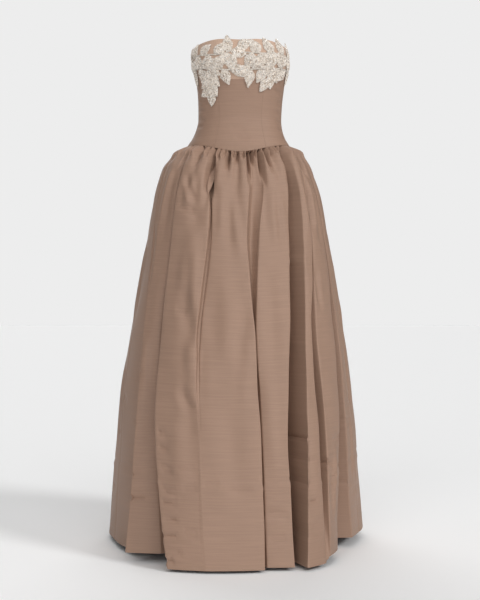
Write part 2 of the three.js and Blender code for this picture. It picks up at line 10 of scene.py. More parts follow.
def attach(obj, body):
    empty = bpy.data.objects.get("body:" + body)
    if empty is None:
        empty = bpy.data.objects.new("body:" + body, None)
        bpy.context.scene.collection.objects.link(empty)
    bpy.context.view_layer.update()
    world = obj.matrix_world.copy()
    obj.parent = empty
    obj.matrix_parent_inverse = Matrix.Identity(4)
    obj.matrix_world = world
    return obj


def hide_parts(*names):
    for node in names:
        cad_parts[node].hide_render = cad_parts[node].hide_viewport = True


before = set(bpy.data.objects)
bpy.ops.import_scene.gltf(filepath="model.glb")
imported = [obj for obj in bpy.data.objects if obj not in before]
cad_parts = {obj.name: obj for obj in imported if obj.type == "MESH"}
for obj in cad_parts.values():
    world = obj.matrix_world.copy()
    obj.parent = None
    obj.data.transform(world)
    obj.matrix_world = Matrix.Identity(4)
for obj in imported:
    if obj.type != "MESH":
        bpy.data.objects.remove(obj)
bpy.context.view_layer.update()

bl_info = {
    "name": "Strapless Ball Gown",
    "version": (1, 0, 0),
    "blender": (4, 5, 0),
    "location": "View3D > Sidebar > Gown",
    "description": "Dresses the packed ball gown in ribbed faille, net, beaded leaves and a centre back zip",
    "category": "Object",
}


def named(columns, rows):
    return [dict(zip(columns, row)) for row in rows]


# The gown's own measures, in mm and degrees. Bearings go round the body from centre front to the
# wearer's left.
SIDES = ("left", "right", "front", "back")
MM = 0.001
RAD = math.pi / 180
WALL = 2.2
SEAM_GAP = 0.3
FACET_CLEAR = 0.2
NECK_FRONT = 196
NECK_BACK = 178
NECK_CUP = {"rise": 5, "wide": 24}
YOKE_LINE = {"low": 90, "rise": 42, "bearing": 58, "run": 8}
SEAM_SIDE = -82
SEAM_FRONT_DIP = 24
SEAM_BACK_DIP = 4
HEM = -1190
FULL_DROP = SEAM_SIDE - HEM
HEM_SHIFT = 90
ROUNDNESS = 2.15
MEAN_RADIUS = 118

BODICE = named(("z", *SIDES), [
    (-112, 158, 150, 104, 120), (-82, 147, 139, 98, 108), (-62, 134, 127, 92, 97), (-40, 124, 119, 87, 86),
    (-17, 117.5, 115.5, 83, 80), (0, 116.5, 115.5, 83, 78), (39, 117, 118, 89, 80), (72, 119, 122, 96, 84),
    (106, 124, 127, 105, 89), (128, 129, 133, 111, 92), (150, 132, 136, 113, 94), (173, 133, 134, 110, 94),
    (196, 129, 127, 105, 92), (235, 124, 122, 99, 89),
])
CUP = {"bearing": 35, "z": 146, "reach": 9, "wide": 20, "tall": 40}

SKIRT = named(("drop", *SIDES), [
    (0, 0, 0, 0, 0), (14, 26, 26, 22, 30), (36, 45, 40, 40, 55), (58, 62, 52, 52, 72), (106, 79, 70, 70, 100),
    (148, 90, 82, 82, 118), (232, 104, 98, 100, 146), (316, 118, 114, 115, 172), (484, 148, 141, 142, 214),
    (652, 178, 168, 170, 248), (820, 198, 190, 195, 280), (988, 216, 208, 218, 308),
    (1108, 230, 225, 234, 328),
])
SEAM_REACH = {"left": 148, "right": 139, "front": 100, "back": 112}

# Standing folds in order round the body, as the bearings of each fold's edges at FOLD_DROPS. Its sizes are
# at SIZE_DROPS, or at FOLD_DROPS where there are five.
FOLD_DROPS = [50, 230, 500, 760, 1108]
SIZE_DROPS = [50, 500, 1108]
FOLD_COLUMNS = ("name", "left", "right", "out", "tilt", "dip", "lean", "lift", "flat", "spans")
FOLDS = named(FOLD_COLUMNS, [
    ("side_right", [-101, -99, -100, -99, -103], [-77, -70, -62, -54.5, -51],
     [2, 2, 0, -6, -20], [0, -4, -10, -16, -26], [40, 54, 66, 72, 70], 0.5, 8, 0.2, 4),
    ("front_far_right", [-72, -65.5, -57, -49.5, -44.5], [-55, -51, -48, -43, -33],
     [2, 0, -4, -8, -12], [0, -6, -12, -20, -30], [42, 64, 84, 100, 118], 2, 18, 0.5, 3),
    ("front_right", [-50, -46, -42, -36, -23.5], [-27, -21, -22, -17.5, -12.5],
     [8, 9, 11, 16.8, 29], [0, 0, 2, -2, -4], [32, 12, 8, 0, 0], -0.5, 0, 0.3, 4),
    ("front_centre", [-24, -19, -20, -15.5, -10.5], [9, 4.5, 7.2, 8.2, 8.2],
     [1, 1, 1, 10, 16], [0, 0, 2, -3, -8], [20, 24, 26, 24, 24], -0.5, 0, 0.3, 6),
    ("front_left", [23, 14, 9.2, 9.8, 9.6], [43, 34, 26, 20, 18.6],
     [-1, -3, -4, -3, 0], [0, 1, 5, 8, 8], [42, 66, 100, 124, 124], 1, 2, 0.6, 4),
    ("front_left_roll", [53, 46, 36, 29, 22.5], [60, 53, 39.5, 35, 31],
     [3, 4, 4, 12, 22], [0, 0, 0, -4, -10], [2, 2, 24, 60, 3], 0, 3, 0, 2),
    ("front_far_left", [62, 55, 44, 41, 34], [70, 69, 60, 54, 46],
     [2, 2, 2, -4, -16], [0, 0, 0, -4, -24], [36, 60, 72, 72, 84], 0.5, 18, 0, 3),
    ("side_left", [77, 76, 71, 66, 70], [92, 96, 95, 96, 100],
     [4, 3, 2, -6, -24], [0, 4, 6, 10, 22], [36, 48, 56, 64, 72], 0, 20, 0.2, 4),
    ("back_far_left", [100, 104, 103, 104, 108], [115, 120, 119, 117, 124],
     [3, 4, 6], [0, 0, 0], [34, 62, 84], -2, 12, 0.2, 3),
    ("back_mid_left", [123, 127, 126, 123, 131], [138, 141, 142, 143, 147],
     [2, -2, 4], [0, 3, 6], [30, 50, 60], 2, 4, 0.3, 3),
    ("back_near_left", [145, 148, 150, 150, 153], [160, 161, 161, 160, 163],
     [4, 8, 14], [0, 0, 0], [32, 66, 92], 1, 0, 0, 3),
    ("back_centre", [168, 167, 167, 166, 169], [192, 191, 190, 193, 195],
     [0, 2, 4], [0, 4, 8], [34, 58, 78], -1, 0, 0.4, 4),
    ("back_near_right", [199, 198, 197, 200, 202], [214, 212, 211, 214, 215],
     [4, 2, -4], [0, -3, -6], [28, 46, 56], 0, 0, 0.2, 3),
    ("back_mid_right", [221, 219, 218, 220, 221], [234, 232, 229, 231, 237],
     [2, 6, 12], [0, 0, 0], [32, 60, 84], 2, 4, 0, 3),
    ("back_far_right", [240, 239, 238, 240, 244], [253, 255, 254, 255, 251],
     [3, 0, 2], [0, 2, 0], [34, 58, 62], -1, 6, 0.2, 3),
])
# The folds in which the skirt panels end, and how many more control points than spans a fold has
SIDE_FOLD_RIGHT = 0
SIDE_FOLD_LEFT = 7
BACK_FOLD = 11
FOLD_ENDS = 7
# Folds grow over FOLD_START of drop and are puffed at the seam until PUFF_FADE. MEAN_TOP and MEAN_HEM are
# the skirt's mean radii, and FLAT_RADIUS is added to them where a crest is made straight. A fold's edges are
# rounded over CORNER mm and fall by EDGE_DROP of it. At the seam the front folds crowd by DRAW degrees.
FOLD_START = 34
PUFF = 7
PUFF_FADE = 200
MEAN_TOP = 150
MEAN_HEM = 400
FLAT_RADIUS = 60
CORNER = 8
CORNER_SHARE = 0.225
EDGE_DROP = 0.8
FLOOR_SHARE = 0.3
SHALLOW = 0.15
DRAW = 12
DRAW_FADE = 22
CLOSE_SHARE = 0.5
CLOSE_MOST = 5

# Short gathers under the waist seam, as in the wall
GATHER_COLUMNS = ("bearing", "deep", "long", "drift")
GATHERS = named(GATHER_COLUMNS, [
    (-94, 11, 100, -1), (-62, 14, 90, 2), (-38.5, 12, 100, -1), (-12, 14, 90, 1), (-3, 13, 110, 1),
    (13.5, 8, 80, 1), (33, 16, 110, 2), (86, 12, 100, 1), (108, 12, 90, 1), (130, 14, 110, -1),
    (152, 12, 90, 1), (206, 13, 110, 1), (227, 14, 90, -1), (246, 12, 100, 1),
])
GATHER_WIDE = 3.2
GATHER_START = 8

# Crisp slits where the faille is drawn into the waist seam: bearing, depth, length and drift
SLIT_REACH = 1.25
SLITS = [
    (-72, 7, 34, 0), (-66, 6, 26, 1), (-57, 12, 56, 1), (-49, 6, 28, 0), (-41.5, 13, 46, 0), (-37, 7, 22, 0),
    (-32, 5, 22, 0), (-27, 15, 104, 0), (-21, 7, 26, 0), (-16, 5, 20, 0), (-12, 11, 50, 0), (-7, 5, 18, 0),
    (-3, 8, 30, 0), (3, 6, 20, 0), (8.6, 13, 84, 0), (12.6, 11, 40, 0), (17, 6, 22, 0), (21.3, 13, 88, 0),
    (26.5, 14, 58, 4.5), (33, 6, 24, 0), (37, 5, 18, 1), (41.5, 14, 72, 7), (47.5, 8, 30, 0),
    (50.5, 12, 50, 0), (57, 7, 30, 1), (63, 13, 74, 1), (69, 9, 66, 1), (75, 6, 34, 0), (82, 7, 40, 1),
    (88, 8, 28, -1), (97, 8, 66, 1), (104, 7, 30, 0), (112, 8, 44, -1), (119, 9, 70, 1), (126, 7, 28, 1),
    (134, 8, 52, -1), (141, 9, 64, 0), (148, 7, 30, 1), (156, 7, 44, -1), (164, 9, 70, 0), (174, 6, 24, 0),
    (186, 6, 26, 0), (195, 9, 64, 0), (203, 7, 30, 1), (210, 8, 48, -1), (217, 9, 70, 0), (224, 7, 26, 1),
    (231, 8, 40, 1), (237, 9, 66, -1), (243, 7, 30, 0), (250, 7, 42, 1), (257, 9, 60, 0), (266, 7, 34, -1),
    (276, 8, 40, 1), (282, 8, 34, 0),
]
SLITS = named(GATHER_COLUMNS, [(at, deep, SLIT_REACH * long, drift) for at, deep, long, drift in SLITS])
SLIT_WIDE = 0.5
SLIT_GROWTH = 0.09
SLIT_DEPTH = 2.8
SLIT_START = 3
SLIT_FULL = 3
SEAM_PUFF = {"rise": 6.5, "drop": 14, "wide": 12}
PUCKER = {"deep": 1.8, "fade": 18, "pitch": 3.7, "sway": 2.6, "turns": 7}

# Hand creases on the skirt: a soft trough, or a ridge where deep is negative, from one place to another.
# Places are a bearing and a drop under the waist seam.
CREASE_COLUMNS = ("from_bearing", "from_drop", "to_bearing", "to_drop", "deep", "wide")
SKIRT_CREASES = named(CREASE_COLUMNS, [
    (-45, 76, -35, 150, 4, 7), (-40, 96, -37, 172, -3, 8), (-24, 24, -25, 190, 3.5, 9),
    (-5, 12, 1.5, 262, 3.5, 11), (-28, 640, -19, 716, 2.5, 12), (-27, 260, -24.5, 470, -3.5, 12),
    (-25, 480, -19, 742, -3, 14), (33, 292, 41, 344, 4, 8), (29, 110, 27, 300, 3, 9),
    (-13, 70, -11, 250, -2.5, 12), (4, 470, 2, 720, -2.5, 14), (-62, 40, -60, 240, -3.5, 8),
    (-66, 200, -61, 420, 3, 9), (-55, 500, -48, 720, -3, 10), (58, 60, 55, 260, 3, 9),
    (63, 90, 60, 250, -3, 9), (51, 330, 49, 470, 3, 9), (48, 820, 40, 1040, -3, 12),
    (84, 400, 80, 640, 3.5, 11), (74, 760, 78, 960, -3, 11), (-30, 30, -20, 150, 3, 13),
    (-34, 60, -28, 260, 2.5, 15), (-29, 190, -33, 420, -2.5, 17), (-31, 380, -23, 560, 3, 16),
    (-22, 560, -20, 800, 2.5, 18), (-27, 720, -21, 930, -2.5, 20), (-10, 40, -6, 300, 3, 14),
    (-4, 120, 1, 330, -2, 12), (-9, 300, -5, 620, -2.5, 20), (2, 380, 3, 700, 2, 16),
    (-6, 640, 1, 980, 2.5, 24), (20, 60, 17, 260, 2.5, 12), (30, 90, 26, 300, -2.5, 13),
    (18, 300, 17, 620, 2.5, 16), (13, 560, 14, 900, -2, 15), (48, 60, 44, 260, 2.5, 13),
    (38, 300, 33, 560, 2, 12), (28, 700, 26, 980, 2.5, 16), (66, 60, 62, 300, 2.5, 12),
    (-60, 80, -55, 300, 2.5, 13), (-54, 340, -49, 600, -2.5, 14), (-46, 640, -43, 900, 2.5, 16),
    (-90, 60, -86, 260, 3, 15), (-84, 240, -90, 520, -2.5, 18), (-88, 560, -82, 860, 3, 20),
    (84, 60, 87, 260, 3, 15), (80, 280, 85, 520, -2.5, 17), (76, 560, 84, 860, 3, 20),
    (108, 60, 112, 280, 3, 14), (112, 320, 110, 600, -2, 16), (114, 640, 117, 900, 2.5, 18),
    (130, 70, 134, 260, 2.5, 13), (136, 320, 133, 560, 3, 15), (137, 600, 141, 880, -2.5, 18),
    (152, 60, 155, 280, 2.5, 13), (156, 330, 154, 620, -2.5, 15), (158, 660, 157, 930, 2.5, 18),
    (174, 60, 172, 240, 2.5, 13), (186, 200, 184, 460, -2.5, 16), (178, 480, 182, 760, 2.5, 18),
    (206, 60, 204, 260, 2.5, 13), (205, 320, 208, 560, 2.5, 15), (208, 600, 206, 900, -2.5, 18),
    (228, 60, 225, 260, 2.5, 13), (224, 320, 226, 600, 2.5, 15), (228, 640, 230, 930, 2.5, 18),
    (247, 60, 245, 280, 2.5, 14), (246, 330, 249, 620, -2.5, 16), (248, 660, 246, 930, 2.5, 18),
])
# Short level creases, where the cloth has been pressed or sat on
LEVEL_CREASES = named(CREASE_COLUMNS, [
    (-46, 168, -30, 180, 3, 9), (-35.5, 765, -30, 770, 3.5, 5), (-34, 805, -28, 800, 3, 5),
    (-32, 855, -25, 862, 3.5, 6), (-28, 990, -21, 984, 3.5, 6), (-26, 1062, -18, 1066, 3, 5),
    (-26, 1090, -21, 1087, 3, 5), (60, 768, 74, 776, 3.5, 6), (44, 812, 54, 806, 3.5, 6),
    (56, 942, 74, 952, 3.5, 6), (23, 1004, 33, 998, 3.5, 6), (8, 968, 19, 980, 2.2, 9),
    (-6, 905, 6, 911, 2, 9), (24, 780, 30, 790, 3.5, 6), (24, 950, 31, 940, 3.5, 6),
    (36, 860, 45, 872, 3.5, 7), (38, 920, 46, 910, 3, 6), (-31, 905, -23, 914, 3.5, 6),
    (-30, 945, -22, 940, 3, 6), (-29, 1030, -20, 1024, 3.5, 6), (-60, 760, -48, 768, 3.5, 7),
    (-58, 820, -46, 814, 3, 7), (-50, 960, -38, 970, 3.5, 7), (-14, 893, -7, 889, 2.5, 7),
    (24, 893, 31, 897, 3, 6), (-54, 905, -38, 898, 2.2, 10), (-90, 800, -78, 806, 3, 7),
    (-62, 640, -50, 632, 2, 9), (-25, 850, -16, 856, 2, 7), (-22, 905, -15, 900, 2.5, 8),
    (-20, 1010, -14, 1016, 2, 7), (24, 835, 34, 842, 2.5, 8), (20, 905, 27, 898, 2.5, 8),
    (22, 1020, 30, 1028, 2.5, 8), (10, 1040, 17, 1034, 2, 7), (-48, 860, -40, 852, 2.5, 8),
    (-80, 700, -70, 712, 2.5, 9), (70, 720, 82, 710, 2.5, 9), (106, 850, 116, 842, 2.5, 9),
    (130, 700, 140, 708, 2, 8), (155, 900, 160, 906, 2, 8), (172, 820, 188, 812, 2.5, 9),
    (203, 940, 213, 934, 2.5, 8), (222, 760, 232, 770, 2, 8), (242, 880, 252, 872, 2.5, 9),
    (-96, 960, -80, 968, 2.5, 9), (72, 980, 92, 972, 2.5, 9), (-36, 440, -28, 452, 2, 9),
])
# Pull wrinkles on the bodice: the places are a bearing and a height
BODICE_CREASES = named(CREASE_COLUMNS, [
    (-88, 20, -58, 8, 1.1, 5), (-86, -6, -60, -14, 1.2, 5), (-84, -30, -62, -32, 1, 5),
    (-78, 44, -52, 34, 0.9, 6), (-86, 66, -66, 50, 1, 6), (60, 96, 84, 76, 1.1, 6), (56, 70, 84, 54, 1.1, 6),
    (58, 40, 86, 30, 1, 6), (60, 12, 86, 4, 1.1, 5), (62, -14, 86, -20, 1.2, 5), (64, -36, 84, -40, 1, 5),
    (96, 20, 126, 12, 1.1, 6), (98, -10, 128, -16, 1.2, 6), (100, 60, 130, 52, 1, 6), (146, 0, 172, 8, 1, 6),
    (148, 40, 170, 34, 1, 7), (188, 8, 214, -2, 1, 6), (190, 46, 212, 50, 1, 7), (230, 14, 262, 22, 1.1, 6),
    (232, -16, 264, -12, 1.2, 6), (234, 56, 260, 62, 1, 6), (-20, -40, 14, -46, 0.7, 9),
    (-12, -70, 20, -66, 0.7, 8),
])
# The pressed edge of the deep hem, and the slow ripples of the cloth
FACING = {"drop": 884, "step": 1.6, "trough": 1.2, "wide": 5, "below": 12, "below_wide": 8}
FACING_WAVES = [(5, 3), (3, 11)]
RIPPLE = {"deep": 0.9, "pitch": 37, "sway": 5, "turns": 4, "full": 400}
CREASE_FORM = {"fade": 0.3, "ridge": 0.3, "ridge_at": 1.7, "ridge_wide": 0.9}

# Panels of the bodice and yoke, as bearings
PANEL_COLUMNS = ("name", "from", "to", "flat")
FAILLE_PANELS = named(PANEL_COLUMNS, [
    ("bodice_side_front_right", -90, -38, (0.120, 0.222)),
    ("bodice_centre_front", -38, 38, (0.162, 0.200)),
    ("bodice_side_front_left", 38, 90, (0.120, 0.222)),
    ("bodice_side_back_left", 90, 142, (0.106, 0.218)),
    ("bodice_back_left", 142, 180, (0.072, 0.220)),
    ("bodice_back_right", 180, 218, (0.072, 0.220)),
    ("bodice_side_back_right", 218, 270, (0.106, 0.218)),
])
YOKE_PANELS = named(PANEL_COLUMNS, [
    ("yoke_front", -90, 90, (0.40, 0.085)),
    ("yoke_back_left", 90, 180, (0.20, 0.06)),
    ("yoke_back_right", 180, 270, (0.20, 0.06)),
])

# Beaded trim: stems as bearing and height pairs, with leaves from both sides in turn
STEM_COLUMNS = ("leaves", "long", "wide", "spread", "rise", "path")
TRIM = {
    "applique_front": [
        (11, 45, 31, 60, 0, [(-90, 150), (-62, 160), (-26, 155), (-4, 174)]),
        (10, 45, 31, 60, 0, [(90, 150), (62, 162), (34, 158), (8, 160)]),
        (10, 43, 30, 64, 1.2, [(-88, 126), (-60, 125), (-34, 118), (-4, 112)]),
        (10, 43, 30, 64, 1.2, [(88, 126), (60, 124), (34, 119), (6, 114)]),
        (7, 41, 28, 50, 2, [(-44, 124), (-43, 102), (-45, 78), (-46, 60)]),
        (4, 40, 28, 50, 2, [(52, 124), (46, 108), (42, 94)]),
    ],
    "applique_back_left": [(7, 41, 27, 60, 0, [(102, 152), (120, 160), (138, 152), (152, 156)])],
    "applique_back_right": [(7, 41, 27, 60, 0, [(258, 152), (240, 160), (222, 152), (208, 156)])],
}
LEAF_VARY = [0, 14, -10, 6, -16, 12, -4]
LEAF_SHAPE = {"at": [0, 0.22, 0.42, 0.66, 1], "half": [0.1, 0.84, 1, 0.74, 0.06]}
LEAF_THICK = 2.6
TRIM_LIFT = 0.8
RIM_THICK = 0.3
STEM_HALF = 2
STEM_THICK = 1.8

# Centre back zip
ZIP = {"tape_wide": 22, "tape_thick": 0.8, "top": 168, "clear": 1.3, "skirt_start": 3, "foot_drop": 165}
SELVEDGE = {"lift": 0.15, "wide": 2}
TAPE_COLUMNS = 13
SLIDER = {"wide": 7, "tall": 10, "thick": 2.6, "z": 156, "ear_thick": 1, "ear_reach": 3.6, "ear_tall": 4}
COIL = {"wide": 2.8, "deep": 0.9, "tall": 0.8, "bevel": 0.22, "pitch": 1.5, "side": 0.45, "under": 0.75}
PIN_RADIUS = 0.6
PIN_INSET = 1.4
BEVELS = {"slider": 0.7, "ear": 0.25, "pull": 0.35, "slot": 0.3}
EAR_SINK = 0.4
PULL = {"wide": 4.2, "long": 22, "thick": 1.2, "eye": 1.75, "bore": 0.95}
PULL_SLOT = {"wide": 0.42, "long": 0.3, "below": 0.22, "deep": 4}
METAL_SMOOTH = 40 * RAD


# Settings that a user would change
COLOUR = {"subtype": "COLOR", "min": 0, "max": 1}


class GownSizes(bpy.types.PropertyGroup):
    cloth_thick: FloatProperty(
        name="Cloth thickness", description="Thickness of the faille",
        default=0.0012, min=0.0004, unit="LENGTH")
    net_thick: FloatProperty(
        name="Net thickness", description="Thickness of the yoke's net",
        default=0.0008, min=0.0003, unit="LENGTH")
    crease: FloatProperty(
        name="Creasing", description="How strongly the hand creases show", default=1.6, min=0, max=2)
    bead: FloatProperty(
        name="Bead size", description="Diameter of a seed bead", default=0.0022, min=0.001, unit="LENGTH")
    rib: FloatProperty(
        name="Rib spacing", description="Distance from rib to rib", default=0.0022, unit="LENGTH")
    seed: IntProperty(name="Seed", description="Seed of the small variations", default=11)


class GownColours(bpy.types.PropertyGroup):
    faille: FloatVectorProperty(
        name="Faille", description="Colour of the cloth", default=(0.345, 0.221, 0.159), **COLOUR)
    # Painted shade: a darker copy of the faille, laid between the ribs and in the zip tape's twill lines
    # where shade would fall
    faille_painted_shade: FloatVectorProperty(
        name="Faille shade", description="Colour between its ribs", default=(0.265, 0.162, 0.114), **COLOUR)
    net: FloatVectorProperty(
        name="Net", description="Colour of the yoke's net", default=(0.55, 0.375, 0.275), **COLOUR)
    bead: FloatVectorProperty(
        name="Beads", description="Main colour of the beads", default=(1.0, 0.9, 0.79), **COLOUR)
    metal: FloatVectorProperty(
        name="Zip metal", description="Colour of the slider and pull", default=(0.42, 0.31, 0.25), **COLOUR)


class GownStage(bpy.types.PropertyGroup):
    distance: FloatProperty(
        name="Camera distance", description="From the camera to the gown", default=3.4, unit="LENGTH")
    height: FloatProperty(name="Camera height", description="Above the waist", default=-0.51, unit="LENGTH")
    lens: FloatProperty(name="Lens", description="Focal length in mm", default=72.9)
    floor_drop: FloatProperty(
        name="Floor gap", description="From the hem down to the floor", default=0.008, unit="LENGTH")
    ambient: FloatProperty(name="Ambient light", description="Light from all round", default=0.06, min=0)
    paper: FloatVectorProperty(
        name="Backdrop", description="Colour of the surroundings", default=(0.847, 0.847, 0.847), **COLOUR)
    floor: FloatVectorProperty(
        name="Floor", description="Colour of the floor", default=(0.95, 0.95, 0.95), **COLOUR)


# The shape of the gown
def between(places, values, place):
    """A table column at any place, smooth through its rows."""
    places = np.asarray(places, float)
    values = np.asarray(values, float)
    last = len(places) - 1
    place = np.clip(place, places[0], places[last])
    i = np.clip(np.searchsorted(places, place, side="right") - 1, 0, last - 1)
    index = np.arange(last + 1)
    lower = np.maximum(index - 1, 0)
    upper = np.minimum(index + 1, last)
    slope = (values[upper] - values[lower]) / (places[upper] - places[lower])
    gap = places[i + 1] - places[i]
    t = (place - places[i]) / gap
    rise = values[i + 1] - values[i]
    start_bend = slope[i] * gap - rise
    end_bend = rise - slope[i + 1] * gap
    return values[i] + rise * t + t * (1 - t) * (start_bend * (1 - t) + end_bend * t)


def column_at(table, at, name, place):
    return between([row[at] for row in table], [row[name] for row in table], place)


def bell(x):
    return np.exp(-x * x)


def turn_from(bearing, centre=0.0):
    return (bearing - centre + 540) % 360 - 180


def outline_radius(bearing, left, right, front, back):
    s = np.sin(bearing * RAD)
    c = np.cos(bearing * RAD)
    across = np.abs(s) / np.where(s > 0, right, left)
    along = np.abs(c) / np.where(c > 0, front, back)
    return (across**ROUNDNESS + along**ROUNDNESS) ** (-1 / ROUNDNESS)


def bodice_radius(bearing, z):
    reach = [column_at(BODICE, "z", side, z) for side in SIDES]
    turn = np.abs(turn_from(bearing))
    cup = CUP["reach"] * bell((turn - CUP["bearing"]) / CUP["wide"]) * bell((z - CUP["z"]) / CUP["tall"])
    return outline_radius(bearing, *reach) + cup


def point_at(bearing, radius, z, back=0.0):
    x = radius * np.sin(bearing * RAD)
    y = back - radius * np.cos(bearing * RAD)
    return np.stack(np.broadcast_arrays(x, y, z), axis=-1)


def unit(vectors):
    length = np.linalg.norm(vectors, axis=-1, keepdims=True)
    return vectors / np.maximum(length, 1e-9)


def bodice_point(bearing, z, off):
    """A point off the bodice by a distance along its normal."""
    step = 0.5
    point = point_at(bearing, bodice_radius(bearing, z), z)
    along = point_at(bearing + step, bodice_radius(bearing + step, z), z) - point
    up = point_at(bearing, bodice_radius(bearing, z + step), z + step) - point
    return point + unit(np.cross(along, up)) * np.asarray(off)[..., None]


def seam_height(bearing):
    c = np.cos(bearing * RAD)
    return SEAM_SIDE - np.where(c > 0, SEAM_FRONT_DIP * c**3, SEAM_BACK_DIP * c * c)


def neck_height(bearing):
    c = np.cos(bearing * RAD)
    cups = NECK_CUP["rise"] * bell((np.abs(turn_from(bearing)) - CUP["bearing"]) / NECK_CUP["wide"])
    middle = (NECK_FRONT + NECK_BACK) / 2
    return middle + (NECK_FRONT - NECK_BACK) / 2 * c + np.where(c > 0, cups, 0)


def yoke_height(bearing):
    turn = np.abs(turn_from(bearing))
    run = (turn - YOKE_LINE["bearing"]) / YOKE_LINE["run"]
    return YOKE_LINE["low"] + YOKE_LINE["rise"] / (1 + np.exp(-run))


def skirt_radius(bearing, drop):
    """Skirt outline without its folds."""
    shift = HEM_SHIFT * drop / FULL_DROP
    start = outline_radius(bearing, *[SEAM_REACH[side] for side in SIDES])
    reach = [SEAM_REACH[side] + column_at(SKIRT, "drop", side, drop) for side in SIDES]
    reach[2] = reach[2] + shift
    reach[3] = reach[3] - shift
    return bodice_radius(bearing, seam_height(bearing)) - start + outline_radius(bearing, *reach)


def drawn_in(rows, wide, growth, power, bearing, drop):
    """How far gathers or slits pull the cloth in under the waist seam. Deep ones are wider by growth."""
    dip = np.zeros_like(bearing)
    for row in rows:
        fade = max(0.0, 1 - (drop / row["long"]) ** power)
        away = turn_from(bearing, row["bearing"] + row["drift"] * drop / row["long"])
        dip += row["deep"] * fade * bell(away / (wide + growth * row["deep"]))
    return dip


def pucker(bearing, drop):
    """Small puckers between the slits, which die out below the seam."""
    sway = PUCKER["sway"] * np.sin(bearing * PUCKER["turns"] * RAD)
    wave = np.sin(360 * bearing / PUCKER["pitch"] * RAD + sway)
    start = 1 - math.exp(-drop / SLIT_START)
    return PUCKER["deep"] * (0.5 + 0.5 * wave) * math.exp(-drop / PUCKER["fade"]) * start


def mean_radius(drop):
    return MEAN_TOP + (MEAN_HEM - MEAN_TOP) * drop / FULL_DROP


def at_drop(values, drop):
    """A fold's size at one drop."""
    drops = FOLD_DROPS if len(values) == len(FOLD_DROPS) else SIZE_DROPS
    return float(between(drops, values, drop))


def fold_edges(drop):
    """Bearings of all left and right edges, with the gaps between the folds closed a little."""
    lefts = [at_drop(fold["left"], drop) for fold in FOLDS]
    rights = [at_drop(fold["right"], drop) for fold in FOLDS]
    lefts.append(lefts[0] + 360)
    for i in range(len(FOLDS)):
        close = min(CLOSE_SHARE * (lefts[i + 1] - rights[i]), CLOSE_MOST / mean_radius(drop) / RAD) / 2
        rights[i] += close
        lefts[i + 1] -= close
    lefts[0] = lefts.pop() - 360
    return lefts, rights


def crest(fold, left, right, drop, share):
    """Bearing and offset of a fold's crest, at a share of the way from its left to its right edge."""
    half = (right - left) / 2
    across = 2 * share - 1
    flat = fold["flat"] * (mean_radius(drop) + FLAT_RADIUS) * (1 / math.cos(half * across * RAD) - 1)
    puff = PUFF * math.exp(-drop / PUFF_FADE) * (1 - across * across)
    off = at_drop(fold["out"], drop) + flat + at_drop(fold["tilt"], drop) * across + puff
    return left + 2 * half * share, off


def fold_points(drop):
    """The fold line at one drop, as control points of bearing, offset and hem lift, in order round the body.
    A fold has two points for its left edge, its spans, two for its right edge, and two for the floor after.
    """
    grown = 1 - math.exp(-drop / FOLD_START)
    lefts, rights = fold_edges(drop)
    points = []
    for i, fold in enumerate(FOLDS):
        after = (i + 1) % len(FOLDS)
        place = lambda share: crest(fold, lefts[i], rights[i], drop, share)
        rounding = min(CORNER / mean_radius(drop) / RAD / (rights[i] - lefts[i]), CORNER_SHARE)
        next_left = lefts[after] + (360 if after == 0 else 0)
        left_off, right_off = place(0)[1], place(1)[1]
        next_off = crest(FOLDS[after], lefts[after], rights[after], drop, 0)[1]
        lift = fold["lift"]
        dip = at_drop(fold["dip"], drop)
        before = min(CORNER, at_drop(FOLDS[i - 1]["dip"], drop))
        beyond = min(CORNER, dip)
        last_gap = lefts[i] - rights[i - 1] + (360 if i == 0 else 0)
        gap = next_left - rights[i]
        outer = lefts[i] - SHALLOW * last_gap * (1 - before / CORNER)
        points.append((outer, left_off - before * EDGE_DROP, lift))
        points.append((lefts[i], left_off, lift))
        for k in range(fold["spans"] + 1):
            points.append((*place(rounding + (1 - 2 * rounding) * k / fold["spans"]), lift))
        points.append((rights[i], right_off, lift))
        outer = rights[i] + SHALLOW * gap * (1 - beyond / CORNER)
        points.append((outer, right_off - beyond * EDGE_DROP, lift))
        floor = (right_off + next_off) / 2 - dip
        shared = (lift + FOLDS[after]["lift"]) / 2
        lean = fold["lean"] * grown * max(0, beyond) / CORNER
        points.append((rights[i] + FLOOR_SHARE * gap + lean, floor, shared))
        points.append((next_left - FLOOR_SHARE * gap + lean, floor, shared))
    points = np.array(points)
    points[:, 1] *= grown
    return points


def fold_start(index):
    return sum(fold["spans"] + FOLD_ENDS for fold in FOLDS[:index])


def fold_middle(index):
    return fold_start(index) + 2 + FOLDS[index]["spans"] // 2


def spline_row(points, first, last, per_span):
    """Bearing, offset and lift along a cubic B-spline through the fold points, several samples to a span."""
    steps = np.arange(first * per_span, last * per_span + 1)
    index = steps // per_span
    t = (steps % per_span) / per_span
    weights = ((1 - t) ** 3, 3 * t**3 - 6 * t**2 + 4, -3 * t**3 + 3 * t**2 + 3 * t + 1, t**3)
    count = len(points)
    row = np.zeros((len(steps), 3))
    for k, weight in enumerate(weights):
        at = index + k - 1
        near = points[at % count].copy()
        near[:, 0] += 360 * (at // count)
        row += weight[:, None] * near / 6
    return row.T


